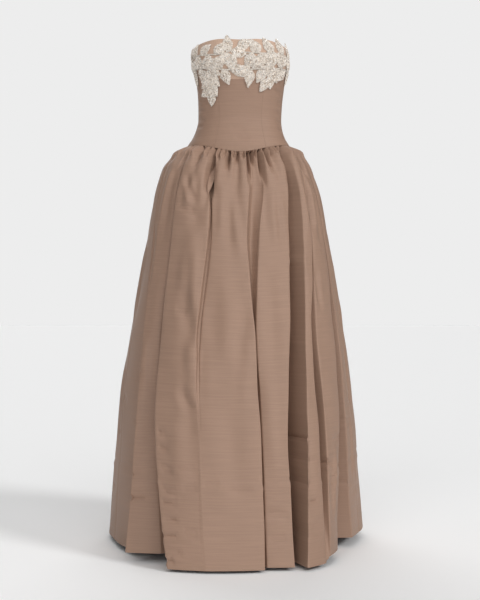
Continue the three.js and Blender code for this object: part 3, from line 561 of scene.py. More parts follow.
def skirt_grid(first, last, per_span, drops):
    """Points of a skirt panel in mm, and their bearings before the folds crowd together at the seam."""
    grid = []
    bearings = []
    for drop in drops:
        settled, off, lift = spline_row(fold_points(drop), first, last, per_span)
        gathered = drawn_in(GATHERS, GATHER_WIDE, 0, 1, settled, drop)
        off = off - gathered * (1 - math.exp(-drop / GATHER_START))
        slit = SLIT_DEPTH * drawn_in(SLITS, SLIT_WIDE, SLIT_GROWTH, 2, settled, drop)
        off = off - slit * (1 - math.exp(-drop / SLIT_START))
        puff = SEAM_PUFF["rise"] * bell((drop - SEAM_PUFF["drop"]) / SEAM_PUFF["wide"])
        off = off + puff * np.clip(1 - slit / SLIT_FULL, 0, 1)
        off = off - pucker(settled, drop)
        front = np.cos(settled * RAD) > 0
        bearing = settled + DRAW * np.sin(2 * settled * RAD) * front * math.exp(-drop / DRAW_FADE)
        top = seam_height(bearing) - SEAM_GAP - FACET_CLEAR
        z = top - drop * (top - HEM) / FULL_DROP + lift * drop / FULL_DROP
        grid.append(point_at(bearing, skirt_radius(bearing, drop) + off, z, HEM_SHIFT * drop / FULL_DROP))
        bearings.append(settled)
    return np.array(grid), np.array(bearings)


# Cloth as thin shells
def grid_normals(grid):
    across = np.gradient(grid, axis=1)
    down = np.gradient(grid, axis=0)
    return unit(np.cross(down, across))


def run_length(points):
    """Distance along a line of points from its first, or along each row of a grid."""
    step = np.linalg.norm(np.diff(points, axis=-2), axis=-1)
    return np.concatenate([np.zeros((*step.shape[:-1], 1)), np.cumsum(step, axis=-1)], axis=-1)


def crease_depth(creases, bearing, place, radius):
    """How deep the hand creases are at each point. Places are drops or heights in mm."""
    depth = np.zeros(np.broadcast(bearing, place).shape)
    for crease in creases:
        run = turn_from(crease["to_bearing"], crease["from_bearing"]) * RAD * radius
        fall = crease["to_drop"] - crease["from_drop"]
        along = turn_from(bearing, crease["from_bearing"]) * RAD * radius
        down = place - crease["from_drop"]
        length = np.sqrt(run**2 + fall**2)
        share = (along * run + down * fall) / length**2
        away = (along * fall - down * run) / length / crease["wide"]
        end = np.clip(np.minimum(share, 1 - share) / CREASE_FORM["fade"], 0, 1)
        beside = bell((np.abs(away) - CREASE_FORM["ridge_at"]) / CREASE_FORM["ridge_wide"])
        profile = bell(away) - CREASE_FORM["ridge"] * beside
        depth += crease["deep"] * profile * end * end * (3 - 2 * end)
    return depth


def rim_faces(outer, inner, flip):
    """Triangles between a shell's outer edge and its inner edge, which has every second point."""
    faces = []
    for k in range(len(inner) - 1):
        a, b = inner[k], inner[k + 1]
        o0, o1, o2 = outer[2 * k : 2 * k + 3]
        strip = [(o0, o1, a), (o1, b, a), (o1, o2, b)]
        faces += [face[::-1] for face in strip] if flip else strip
    return faces


def cloth_shell(name, grid, uv, thick):
    """A closed shell of cloth from a grid of outer points in mm. Its inner side is half as fine."""
    rows, columns = grid.shape[:2]
    inside = (grid - grid_normals(grid) * thick)[::2, ::2]
    inner_rows, inner_columns = inside.shape[:2]
    out = np.arange(rows * columns).reshape(rows, columns)
    inn = np.arange(inner_rows * inner_columns).reshape(inner_rows, inner_columns) + rows * columns
    quads = lambda m: np.stack([m[:-1, :-1], m[1:, :-1], m[1:, 1:], m[:-1, 1:]], axis=-1).reshape(-1, 4)
    faces = quads(out).tolist() + quads(inn)[:, ::-1].tolist()
    faces += rim_faces(out[0], inn[0], False) + rim_faces(out[-1], inn[-1], True)
    faces += rim_faces(out[:, 0], inn[:, 0], True) + rim_faces(out[:, -1], inn[:, -1], False)
    points = np.concatenate([grid.reshape(-1, 3), inside.reshape(-1, 3)])
    both = np.concatenate([uv.reshape(-1, 2), uv[::2, ::2].reshape(-1, 2)])
    return mesh_piece(name, points, faces, both)


def mesh_piece(name, points, faces, uv=None, smooth_angle=50):
    mesh = bpy.data.meshes.new(name)
    mesh.from_pydata((np.asarray(points) * MM).tolist(), [], [tuple(int(i) for i in face) for face in faces])
    mesh.update()
    if uv is not None:
        corners = np.empty(len(mesh.loops), np.int32)
        mesh.loops.foreach_get("vertex_index", corners)
        layer = mesh.uv_layers.new(name="cloth")
        layer.data.foreach_set("uv", uv[corners].astype(np.float32).ravel())
    piece = bpy.data.objects.new(name, mesh)
    bpy.context.scene.collection.objects.link(piece)
    choose(piece)
    bpy.ops.object.shade_smooth_by_angle(angle=smooth_angle * RAD)
    return piece


def choose(*pieces):
    bpy.ops.object.select_all(action="DESELECT")
    for piece in pieces:
        piece.select_set(True)
    bpy.context.view_layer.objects.active = pieces[0]


def finish_piece(piece, material, body="gown", replaces=()):
    piece.data.materials.clear()
    piece.data.materials.append(material)
    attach(piece, body)
    if replaces:
        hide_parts(*replaces)
    return piece


def even(count):
    return count + count % 2


# Materials
def procedural(name):
    """Makes a material once, with the nodes that a function lays out, and gives the same one after that."""
    def wrap(lay_out):
        def material(*settings):
            made = bpy.data.materials.get(name)
            if made is None:
                made = bpy.data.materials.new(name)
                made.use_nodes = True
                lay_out(made.node_tree, made.node_tree.nodes["Principled BSDF"], *settings)
            return made
        return material
    return wrap


def set_up(node, **values):
    """Sets a node's own values, and its inputs by their names."""
    for key, value in values.items():
        if hasattr(node, key):
            setattr(node, key, value)
        else:
            node.inputs[key.replace("_", " ")].default_value = value
    return node


def add_node(tree, kind, **values):
    return set_up(tree.nodes.new(kind), **values)


def mapped(tree, scale=(1, 1, 1), layer=None):
    """Places along the cloth where its layer is named, or else in the piece's own space."""
    if layer:
        source = add_node(tree, "ShaderNodeUVMap", uv_map=layer).outputs["UV"]
    else:
        source = add_node(tree, "ShaderNodeTexCoord").outputs["Object"]
    mapping = add_node(tree, "ShaderNodeMapping", Scale=scale)
    tree.links.new(source, mapping.inputs["Vector"])
    return mapping.outputs["Vector"]


def texture(tree, kind, places, output="Fac", **values):
    node = add_node(tree, "ShaderNodeTex" + kind, **values)
    tree.links.new(places, node.inputs["Vector"])
    return node.outputs[output]


def tinted(colour, share):
    return [min(1, c * share) for c in colour]


def blend_colours(tree, factor, first, second):
    mix = add_node(tree, "ShaderNodeMix", data_type="RGBA")
    tree.links.new(factor, mix.inputs["Factor"])
    for socket, value in ((6, first), (7, second)):
        if hasattr(value, "links"):
            tree.links.new(value, mix.inputs[socket])
        else:
            mix.inputs[socket].default_value = (*value, 1)
    return mix.outputs[2]


def spread(tree, value, low, high, to_low=0.0, to_high=1.0):
    ranged = add_node(
        tree, "ShaderNodeMapRange", From_Min=low, From_Max=high, To_Min=to_low, To_Max=to_high)
    tree.links.new(value, ranged.inputs["Value"])
    return ranged.outputs["Result"]


def bump(tree, height, strength, distance, before=None):
    node = add_node(tree, "ShaderNodeBump", Strength=strength, Distance=distance)
    tree.links.new(height, node.inputs["Height"])
    if before is not None:
        tree.links.new(before, node.inputs["Normal"])
    return node.outputs["Normal"]


def feed(tree, shader, **sources):
    for name, source in sources.items():
        tree.links.new(source, shader.inputs[name.replace("_", " ")])


# The scale at which one band of a wave texture is a metre wide
WAVE_UNIT = 0.314


@procedural("ribbed faille")
def faille_material(tree, shader, colours, sizes):
    """Ribbed faille: level ribs along the weft with painted shade between them, slubs that run with them
    painted lighter as painted highlights, a soft sheen.
    """
    cloth = mapped(tree, layer="cloth")
    ribs = texture(
        tree, "Wave", cloth, bands_direction="Y", Scale=WAVE_UNIT / sizes.rib, Distortion=0.8, Detail=1)
    slubs = texture(tree, "Noise", mapped(tree, (7, 260, 1), "cloth"), Scale=1.0, Detail=4.0, Roughness=0.6)
    clouds = texture(tree, "Noise", mapped(tree, (1, 1, 0.6)), Scale=7.0, Detail=3.0, Roughness=0.5)
    # Painted shade between the ribs: the rib valleys take the faille's painted shade colour
    rib_shaded = blend_colours(tree, spread(tree, ribs, 0, 1, 0.35, 1), colours.faille_painted_shade, colours.faille)
    lit, dim = tinted(colours.faille, 1.22), tinted(colours.faille, 0.82)
    # Painted highlight: the slub streaks are drawn toward a lit copy of the faille; the slubs are a real
    # texture that also bumps and roughens the cloth
    slubs_highlit = blend_colours(tree, spread(tree, slubs, 0.38, 0.72, 0, 0.5), rib_shaded, lit)
    warmed = blend_colours(tree, spread(tree, clouds, 0.3, 0.7, 0, 0.24), slubs_highlit, dim)
    rough = bump(tree, slubs, 0.35, 0.0006)
    feed(tree, shader, Base_Color=warmed, Roughness=spread(tree, slubs, 0.3, 0.7, 0.46, 0.62),
         Normal=bump(tree, ribs, 0.5, 0.0004, rough))
    set_up(shader, Sheen_Weight=0.04, Sheen_Roughness=0.35, Sheen_Tint=(0.9, 0.78, 0.7, 1),
           Specular_IOR_Level=0.3)


@procedural("nude net")
def net_material(tree, shader, colours):
    """Fine net over a nude ground: a woven mesh of threads a millimetre apart."""
    cells = texture(
        tree, "Voronoi", mapped(tree, layer="cloth"), "Distance", feature="DISTANCE_TO_EDGE", Scale=620)
    clouds = texture(tree, "Noise", mapped(tree), Scale=18.0, Detail=2.0)
    threads = spread(tree, cells, 0.02, 0.16)
    woven = blend_colours(tree, threads, tinted(colours.net, 1.18), tinted(colours.net, 0.86))
    shaded = blend_colours(tree, spread(tree, clouds, 0.3, 0.7, 0, 0.3), woven, tinted(colours.net, 0.8))
    feed(tree, shader, Base_Color=shaded, Normal=bump(tree, threads, 0.4, 0.0003))
    set_up(shader, Roughness=0.75, Sheen_Weight=0.2)


# The beads that aren't of the main colour
SILVER = (0.98, 0.95, 0.91)
CHAMPAGNE = (0.40, 0.29, 0.20)


@procedural("ivory and silver beads")
def bead_material(tree, shader, colours):
    """Glass seed beads and pearls, each a little different: ivory, silver and pale champagne."""
    parts = add_node(tree, "ShaderNodeSeparateColor")
    tree.links.new(texture(tree, "Voronoi", mapped(tree), "Color", Scale=300), parts.inputs["Color"])
    red, green, blue = parts.outputs
    silver = blend_colours(tree, red, colours.bead, SILVER)
    champagne = blend_colours(tree, spread(tree, green, 0.5, 0.95, 0, 0.9), silver, CHAMPAGNE)
    feed(tree, shader, Base_Color=champagne, Roughness=spread(tree, blue, 0, 1, 0.12, 0.4),
         Metallic=spread(tree, red, 0.6, 0.9, 0.05, 0.7))
    set_up(shader, Coat_Weight=0.4, Coat_Roughness=0.12)


@procedural("embroidered backing")
def backing_material(tree, shader, colours):
    """Thread and net under the beads, worked over in rows of stitches, with painted shade between the beads.
    """
    stitches = texture(tree, "Noise", mapped(tree), Scale=420.0, Detail=3.0)
    # Painted shade between the beads: the stitch texture runs down to a dark copy of the bead colour where
    # the beads shade the backing
    thread_and_shade = blend_colours(
        tree, spread(tree, stitches, 0.35, 0.65), tinted(colours.bead, 0.36), tinted(colours.bead, 0.8))
    feed(tree, shader, Base_Color=thread_and_shade, Normal=bump(tree, stitches, 0.6, 0.0006))
    set_up(shader, Roughness=0.6)


@procedural("zip tape twill")
def tape_material(tree, shader, colours):
    """Twill zip tape, a little darker than the faille, with painted shade in its twill lines."""
    twill = texture(tree, "Wave", mapped(tree, layer="cloth"), bands_direction="DIAGONAL", Scale=260)
    # Painted shade in the twill lines: they take a darker copy of the faille's painted shade colour
    woven = blend_colours(tree, twill, tinted(colours.faille_painted_shade, 0.7), colours.faille)
    feed(tree, shader, Base_Color=woven, Normal=bump(tree, twill, 0.5, 0.0003))
    set_up(shader, Roughness=0.85)


@procedural("lacquered zip metal")
def metal_material(tree, shader, colours):
    """Lacquered zip metal, dyed to match, worn a little brighter in patches."""
    wear = texture(tree, "Noise", mapped(tree), Scale=320.0, Detail=4.0)
    worn = blend_colours(tree, spread(tree, wear, 0.5, 0.72), colours.metal, tinted(colours.metal, 1.5))
    feed(tree, shader, Base_Color=worn, Roughness=spread(tree, wear, 0.3, 0.7, 0.22, 0.42))
    set_up(shader, Metallic=0.9)


@procedural("studio floor")
def paper_material(tree, shader, paper):
    """Pale studio floor with a faint tooth."""
    tooth = texture(tree, "Noise", mapped(tree), Scale=60.0, Detail=3.0)
    feed(tree, shader, Base_Color=blend_colours(tree, tooth, tinted(paper, 0.99), paper))
    set_up(shader, Roughness=0.9, Specular_IOR_Level=0.1)


# Skirt
SKIRT_SAMPLES = 7
SKIRT_ROWS = 128
SKIRT_EASE = 1.2
ROLL_FULL = 20
SKIRT_MIDDLES = [fold_middle(fold) for fold in (SIDE_FOLD_RIGHT, SIDE_FOLD_LEFT, BACK_FOLD)]
SKIRT_MIDDLES.append(SKIRT_MIDDLES[0] + fold_start(len(FOLDS)))
SKIRT_PANELS = named((*PANEL_COLUMNS, "area"), [
    ("skirt_front", *SKIRT_MIDDLES[0:2], (1.95, 1.11), 1.62),
    ("skirt_back_left", *SKIRT_MIDDLES[1:3], (0.98, 1.11), 0.82),
    ("skirt_back_right", *SKIRT_MIDDLES[2:4], (0.98, 1.11), 0.82),
])


def seam_roll(grid, reach=5, deep=1.6):
    """The turned edges of a panel: its two side edges sink a little into the seam."""
    from_left = run_length(grid)
    from_right = from_left[:, -1:] - from_left
    return deep * (bell(from_left / reach * 2) + bell(from_right / reach * 2))


def pressed_edge(bearing, place):
    """The mark of the turned-up hem: a trough along its edge, with a soft ridge below."""
    edge = FACING["drop"]
    for size, turns in FACING_WAVES:
        edge = edge + size * np.sin(bearing * RAD * turns)
    trough = FACING["trough"] * bell((place - edge) / FACING["wide"])
    return FACING["step"] * (trough - bell((place - edge - FACING["below"]) / FACING["below_wide"]))


def ripples(bearing, place):
    wave = np.sin(place / RIPPLE["pitch"] + RIPPLE["sway"] * np.sin(bearing * RAD * RIPPLE["turns"]))
    return RIPPLE["deep"] * wave * np.clip(place / RIPPLE["full"], 0, 1)


def skirt_panel(panel, sizes, colours):
    drops = FULL_DROP * np.linspace(0, 1, SKIRT_ROWS + 1) ** SKIRT_EASE
    samples = SKIRT_SAMPLES + (panel["to"] - panel["from"]) % 2
    grid, bearing = skirt_grid(panel["from"], panel["to"], samples, drops)
    place = np.repeat(drops[:, None], grid.shape[1], axis=1)
    depth = crease_depth(SKIRT_CREASES + LEVEL_CREASES, bearing, place, mean_radius(place)) * sizes.crease
    depth += pressed_edge(bearing, place)
    depth += ripples(bearing, place)
    depth += seam_roll(grid) * np.clip(place / ROLL_FULL, 0, 1)
    grid = grid - grid_normals(grid) * depth[..., None]
    across = np.linspace(0, panel["flat"][0], grid.shape[1])
    uv = np.stack(np.broadcast_arrays(across[None, :], -place * MM), axis=-1)
    piece = cloth_shell("cloth_" + panel["name"], grid, uv, sizes.cloth_thick / MM)
    finish_piece(piece, faille_material(colours, sizes), replaces=[panel["name"]])
    return piece


class GOWN_OT_skirt(bpy.types.Operator):
    """Make the gathered skirt: one front and two back panels of faille"""

    bl_idname = "gown.skirt"
    bl_label = "Skirt"

    def execute(self, context):
        for panel in SKIRT_PANELS:
            skirt_panel(panel, context.scene.gown_sizes, context.scene.gown_colours)
        return {"FINISHED"}


# Bodice and yoke
PANEL_STEP = 2.4
PANEL_ROLL = {"reach": 2.4, "deep": 0.25}


def bodice_grid(panel, bottom, top):
    gap = SEAM_GAP / 2 / MEAN_RADIUS / RAD
    columns = even(round((panel["to"] - panel["from"]) * RAD * MEAN_RADIUS / PANEL_STEP))
    bearing = np.linspace(panel["from"] + gap, panel["to"] - gap, columns + 1)
    tall = float(np.max(top(bearing) - bottom(bearing)))
    rows = even(round(tall / PANEL_STEP))
    share = np.linspace(0, 1, rows + 1)[:, None]
    z = top(bearing) + (bottom(bearing) - top(bearing)) * share
    bearing = np.repeat(bearing[None, :], rows + 1, axis=0)
    return point_at(bearing, bodice_radius(bearing, z), z), bearing, z


def bodice_panel(panel, bottom, top, material, thick, creases, creasing):
    grid, bearing, z = bodice_grid(panel, bottom, top)
    depth = crease_depth(creases, bearing, z, MEAN_RADIUS) * creasing
    depth += seam_roll(grid, **PANEL_ROLL)
    grid = grid - grid_normals(grid) * depth[..., None]
    uv = np.stack([bearing * RAD * MEAN_RADIUS * MM, z * MM], axis=-1)
    piece = cloth_shell("cloth_" + panel["name"], grid, uv, thick / MM)
    finish_piece(piece, material, replaces=[panel["name"]])
    return piece


class GOWN_OT_bodice(bpy.types.Operator):
    """Make the seven faille panels of the corset bodice"""

    bl_idname = "gown.bodice"
    bl_label = "Bodice"

    def execute(self, context):
        sizes = context.scene.gown_sizes
        material = faille_material(context.scene.gown_colours, sizes)
        for panel in FAILLE_PANELS:
            bodice_panel(
                panel, seam_height, yoke_height, material, sizes.cloth_thick, BODICE_CREASES,
                sizes.crease)
        return {"FINISHED"}


class GOWN_OT_yoke(bpy.types.Operator):
    """Make the three net panels of the yoke"""

    bl_idname = "gown.yoke"
    bl_label = "Net yoke"

    def execute(self, context):
        sizes = context.scene.gown_sizes
        material = net_material(context.scene.gown_colours)
        bottom = lambda bearing: yoke_height(bearing) + SEAM_GAP
        for panel in YOKE_PANELS:
            bodice_panel(panel, bottom, neck_height, material, sizes.net_thick, [], sizes.crease)
        return {"FINISHED"}


# Beaded leaves
LEAF_ROWS = 16
LEAF_HALF_COLUMNS = 4
TEETH = 6
TOOTH = {"deep": 0.09, "grow": 5}
VEIN = {"deep": 0.25, "slant": 1.2}
CROWN = {"grow": 6, "power": 1.6}
BEAD_ENDS = (0.02, 0.97)
AHEAD = 0.02
BEAD_FLAT = 0.8
BEAD_SMOOTH = 179
BEAD_GAP = 1.06
BEAD_RISE = 0.2
BEAD_ROWS = 1.05
BEAD_SLANT = 0.10
BEAD_INSET = 0.9
BEAD_VARY = (0.82, 1.2)
EDGE_BEADS = {"across": 0.98, "vary": (0.9, 1.1)}
PEARLS = {"count": 8, "from": 0.12, "to": 0.88, "first": 1.5, "step": 0.06}


def stem_place(path, at):
    places = np.linspace(0, 1, len(path))
    bearing = lambda t: between(places, [p[0] for p in path], t)
    height = lambda t: between(places, [p[1] for p in path], t)
    along = (bearing(at + AHEAD) - bearing(at - AHEAD)) * RAD * MEAN_RADIUS
    heading = np.arctan2(along, height(at + AHEAD) - height(at - AHEAD))
    return {"bearing": float(bearing(at)), "z": float(height(at)), "heading": float(heading)}


def stem_leaves(stem):
    leaves = []
    for i in range(stem["leaves"]):
        leaf = stem_place(stem["path"], i / (stem["leaves"] - 1))
        side = 0 if i == stem["leaves"] - 1 else (1 if i % 2 else -1)
        vary = LEAF_VARY[i % len(LEAF_VARY)]
        leaf["heading"] += side * (stem["spread"] + vary) * RAD
        leaf.update(long=stem["long"] + vary / 3, wide=stem["wide"], rise=stem["rise"])
        leaves.append(leaf)
    return leaves


def on_strip(place, long, half, at, across, off):
    """A point of a leaf: at along its length, across from edge to edge, off above the bodice."""
    sin, cos = math.sin(place["heading"]), math.cos(place["heading"])
    bearing = place["bearing"] + (long * at * sin + half * across * cos) / MEAN_RADIUS / RAD
    z = place["z"] + long * at * cos - half * across * sin
    return bodice_point(bearing, z, off)


def leaf_half(leaf, at):
    smooth = between(LEAF_SHAPE["at"], LEAF_SHAPE["half"], at) * leaf["wide"] / 2
    saw = (at * TEETH) % 1.0
    return smooth * (1 + TOOTH["deep"] * (0.5 - saw) * np.clip(at * TOOTH["grow"], 0, 1))


def leaf_top(leaf, at, across):
    ends = np.clip(np.minimum(at, 1 - at) * CROWN["grow"], 0, 1)
    crown = (LEAF_THICK - RIM_THICK) * (1 - np.abs(across) ** CROWN["power"]) * ends
    return TRIM_LIFT + leaf["rise"] + RIM_THICK + crown


def add_leaf(builder, leaf):
    at, across = np.meshgrid(
        np.linspace(0, 1, LEAF_ROWS + 1), np.linspace(-1, 1, 2 * LEAF_HALF_COLUMNS + 1), indexing="ij")
    half = leaf_half(leaf, at)
    slant = at * TEETH + np.abs(across) * VEIN["slant"]
    veins = VEIN["deep"] * np.cos(slant * 2 * math.pi) * (1 - np.abs(across))
    top = on_strip(leaf, leaf["long"], half, at, across, leaf_top(leaf, at, across) + veins)
    under = on_strip(leaf, leaf["long"], half, at, across, np.full_like(at, TRIM_LIFT + leaf["rise"]))
    builder.closed_pair(top, under)


def add_stem(builder, stem):
    steps = 4 * len(stem["path"])
    top, under = [], []
    for i in range(steps + 1):
        place = stem_place(stem["path"], i / steps)
        across = np.linspace(-1, 1, 5)
        crown = STEM_THICK * (1 - across**2)
        base = TRIM_LIFT + stem["rise"]
        top.append(on_strip(place, 0, STEM_HALF, 0, across, base + RIM_THICK + crown))
        under.append(on_strip(place, 0, STEM_HALF, 0, across, np.full(5, base)))
    builder.closed_pair(np.array(top), np.array(under))


class MeshBuilder:
    """Gathers many small closed forms into one mesh."""

    def __init__(self):
        self.points = []
        self.faces = []
        self.count = 0

    def add(self, points, faces):
        self.points.append(points)
        self.faces.append(np.asarray(faces) + self.count)
        self.count += len(points)

    def closed_pair(self, top, under):
        """A closed form from two grids. Columns go to the right of its heading and rows along it."""
        rows, columns = top.shape[:2]
        out = np.arange(rows * columns).reshape(rows, columns)
        inn = out + rows * columns
        quads = lambda m: np.stack([m[:-1, :-1], m[:-1, 1:], m[1:, 1:], m[1:, :-1]], axis=-1).reshape(-1, 4)
        strip = lambda a, b: np.stack([a[:-1], b[:-1], b[1:], a[1:]], axis=-1)
        faces = [quads(out), quads(inn)[:, ::-1], strip(out[0], inn[0]), strip(out[-1], inn[-1])[:, ::-1]]
        faces += [strip(out[:, 0], inn[:, 0])[:, ::-1], strip(out[:, -1], inn[:, -1])]
        self.add(np.concatenate([top.reshape(-1, 3), under.reshape(-1, 3)]), np.concatenate(faces))

    def piece(self, name, smooth_angle=50):
        faces = [face for block in self.faces for face in block.tolist()]
        return mesh_piece(name, np.concatenate(self.points), faces, smooth_angle=smooth_angle)


def made(add, **values):
    """The new object of an add operator, alone in the selection."""
    bpy.ops.object.select_all(action="DESELECT")
    add(**values)
    return bpy.context.object


def remove(piece):
    mesh = piece.data
    bpy.data.objects.remove(piece)
    bpy.data.meshes.remove(mesh)


def taken_apart(piece):
    """A made form as its points in mm and its faces, to be copied into other meshes."""
    points = np.array([v.co[:] for v in piece.data.vertices]) / MM
    faces = [tuple(p.vertices) for p in piece.data.polygons]
    remove(piece)
    return points, faces


def bead_form(radius):
    """One bead, rounded and pressed flat a little, as points in mm and triangles."""
    bead = made(bpy.ops.mesh.primitive_ico_sphere_add, subdivisions=1, radius=radius * MM)
    bpy.ops.object.mode_set(mode="EDIT")
    bpy.ops.transform.resize(value=(1, 1, BEAD_FLAT))
    bpy.ops.object.mode_set(mode="OBJECT")
    points, faces = taken_apart(bead)
    return points, np.array(faces)


def leaf_beads(leaf, pitch, chance):
    """Places and sizes of a leaf's beads: slanting rows like its veins, a row round its edge, and pearls."""
    places = []
    rows = max(3, round(leaf["long"] / pitch * BEAD_ROWS))
    for r in range(rows):
        at = (r + 0.5) / rows
        half = float(leaf_half(leaf, np.array(at)))
        count = max(1, int(2 * half / pitch))
        for c in range(count):
            across = ((c + 0.5 + 0.5 * (r % 2)) / count) * 2 - 1
            if abs(across) > BEAD_INSET:
                continue
            slant = BEAD_SLANT * (1 - abs(across)) - BEAD_SLANT / 2
            slanted = min(BEAD_ENDS[1], max(BEAD_ENDS[0], at + slant))
            places.append((slanted, across, chance.uniform(*BEAD_VARY)))
    edge = round(leaf["long"] / pitch)
    for side in (-1, 1):
        across = side * EDGE_BEADS["across"]
        places += [((k + 0.5) / edge, across, chance.uniform(*EDGE_BEADS["vary"])) for k in range(edge)]
    run = (PEARLS["to"] - PEARLS["from"]) / (PEARLS["count"] - 1)
    for k in range(PEARLS["count"]):
        places.append((PEARLS["from"] + run * k, 0.0, PEARLS["first"] - PEARLS["step"] * k))
    return np.array(places)


def add_beads(builder, leaf, form, sizes, chance):
    """Puts the bead form at each place of a leaf, standing on the leaf and turned to it."""
    points, faces = form
    at, across, size = leaf_beads(leaf, sizes.bead / MM * BEAD_GAP, chance).T
    half = leaf_half(leaf, at)
    rest = leaf_top(leaf, at, across) + BEAD_RISE
    centre = on_strip(leaf, leaf["long"], half, at, across, rest)
    above = on_strip(leaf, leaf["long"], half, at, across, rest + 1)
    ahead = on_strip(leaf, leaf["long"], half, at + AHEAD, across, rest)
    normal = unit(above - centre)
    side = unit(np.cross(ahead - centre, normal))
    axes = np.stack([side, np.cross(normal, side), normal], axis=1)
    placed = centre[:, None] + points @ axes * size[:, None, None]
    ids = faces[None] + (np.arange(len(at)) * len(points))[:, None, None]
    builder.add(placed.reshape(-1, 3), ids.reshape(-1, 3))


class GOWN_OT_leaves(bpy.types.Operator):
    """Make the beaded leaves and their stems, front and back"""

    bl_idname = "gown.leaves"
    bl_label = "Beaded leaves"

    def execute(self, context):
        sizes, colours = context.scene.gown_sizes, context.scene.gown_colours
        chance = random.Random(sizes.seed)
        form = bead_form(sizes.bead / MM / 2)
        for node, rows in TRIM.items():
            backing, beads = MeshBuilder(), MeshBuilder()
            for row in rows:
                stem = dict(zip(STEM_COLUMNS, row))
                add_stem(backing, stem)
                for leaf in stem_leaves(stem):
                    add_leaf(backing, leaf)
                    add_beads(beads, leaf, form, sizes, chance)
            leaves = backing.piece("leaves_" + node)
            finish_piece(leaves, backing_material(colours), replaces=[node])
            finish_piece(beads.piece("beads_" + node, BEAD_SMOOTH), bead_material(colours))
        return {"FINISHED"}


# Centre back zip
def back_face(z):
    return float(bodice_radius(np.array(180.0), np.array(float(z))))


def zip_spine(steps=60):
    """The centre back line from the zip's top, down the bodice and onto the skirt."""
    seam = float(seam_height(np.array(180.0)))
    line = [(back_face(z), z) for z in np.linspace(ZIP["top"], seam, steps)]
    middle = fold_middle(BACK_FOLD)
    grid, _ = skirt_grid(middle, middle + 1, 2, np.linspace(ZIP["skirt_start"], ZIP["foot_drop"], steps // 2))
    line += [(point[1], point[2]) for point in grid[:, 0]]
    return np.array(line)


def zip_tape(sizes, colours):
    spine = zip_spine()
    spine = spine[: len(spine) - (len(spine) + 1) % 2]
    half = ZIP["tape_wide"] / 2
    across = np.linspace(half, -half, TAPE_COLUMNS)
    grid = np.zeros((len(spine), len(across), 3))
    grid[..., 0] = across
    lift = SELVEDGE["lift"] * bell((np.abs(across) - half) / SELVEDGE["wide"])
    grid[..., 1] = spine[:, :1] - WALL - ZIP["clear"] + lift
    grid[..., 2] = spine[:, 1:]
    along = run_length(spine)
    uv = np.stack(np.broadcast_arrays(across[None, :] * MM, along[:, None] * MM), axis=-1)
    piece = cloth_shell("zip_tape_twill", grid, uv, ZIP["tape_thick"])
    finish_piece(piece, tape_material(colours), replaces=["zip_tape"])
    return piece


def zip_teeth(colours):
    """The coil's teeth, modelled once and copied down the tape, under the closed edges of the cloth."""
    points, faces = taken_apart(
        bevelled_bar("tooth", COIL["wide"], COIL["deep"], COIL["tall"], (0, 0, 0), COIL["bevel"], 1))
    spine = zip_spine()
    along = run_length(spine)
    all_points, all_faces = [], []
    for k in range(int(along[-1] / COIL["pitch"])):
        distance = COIL["pitch"] * (k + 0.5)
        y, z = [np.interp(distance, along, spine[:, axis]) for axis in (0, 1)]
        centre = np.array([COIL["side"] if k % 2 else -COIL["side"], y - WALL - COIL["under"], z])
        all_faces += [tuple(i + len(all_points) * len(points) for i in face) for face in faces]
        all_points.append(points + centre)
    piece = mesh_piece("zip_teeth", np.concatenate(all_points), all_faces)
    return finish_piece(piece, metal_material(colours))


def bevelled_bar(name, wide, deep, tall, centre, bevel, segments=3):
    piece = made(bpy.ops.mesh.primitive_cube_add, size=1, location=(0, 0, 0))
    piece.name = name
    bpy.ops.object.mode_set(mode="EDIT")
    bpy.ops.transform.resize(value=(wide * MM, deep * MM, tall * MM))
    bpy.ops.mesh.bevel(offset=bevel * MM, segments=segments, affect="EDGES")
    bpy.ops.object.mode_set(mode="OBJECT")
    piece.data.transform(Matrix.Translation(Vector(centre) * MM))
    return piece


def cross_bar(name, radius, long, centre):
    piece = made(bpy.ops.mesh.primitive_cylinder_add, vertices=24, radius=radius * MM, depth=long * MM)
    piece.name = name
    piece.data.transform(Matrix.Rotation(math.pi / 2, 4, "Y"))
    piece.data.transform(Matrix.Translation(Vector(centre) * MM))
    return piece


def combine(target, other, operation):
    change = target.modifiers.new(operation.lower(), "BOOLEAN")
    change.operation = operation
    change.object = other
    change.solver = "EXACT"
    choose(target)
    bpy.ops.object.modifier_apply(modifier=change.name)
    remove(other)


def zip_pin_y():
    return back_face(SLIDER["z"]) + SEAM_GAP + SLIDER["thick"] + SLIDER["ear_reach"] - PIN_INSET


def zip_slider(colours):
    face = back_face(SLIDER["z"]) + SEAM_GAP
    body = bevelled_bar("zip_slider_body", SLIDER["wide"], SLIDER["thick"], SLIDER["tall"],
                        (0, face + SLIDER["thick"] / 2, SLIDER["z"]), BEVELS["slider"])
    reach = SLIDER["ear_reach"] + EAR_SINK
    ear_y = face + SLIDER["thick"] + SLIDER["ear_reach"] / 2 - EAR_SINK / 2
    for side in (-1, 1):
        ear_x = side * (SLIDER["wide"] / 2 - SLIDER["ear_thick"] / 2)
        place = (ear_x, ear_y, SLIDER["z"])
        ear = bevelled_bar("ear", SLIDER["ear_thick"], reach, SLIDER["ear_tall"], place, BEVELS["ear"])
        combine(body, ear, "UNION")
    pin = cross_bar("pin", PIN_RADIUS, SLIDER["wide"] - SLIDER["ear_thick"], (0, zip_pin_y(), SLIDER["z"]))
    combine(body, pin, "UNION")
    choose(body)
    bpy.ops.object.shade_smooth_by_angle(angle=METAL_SMOOTH)
    return finish_piece(body, metal_material(colours), replaces=["zip_slider"])


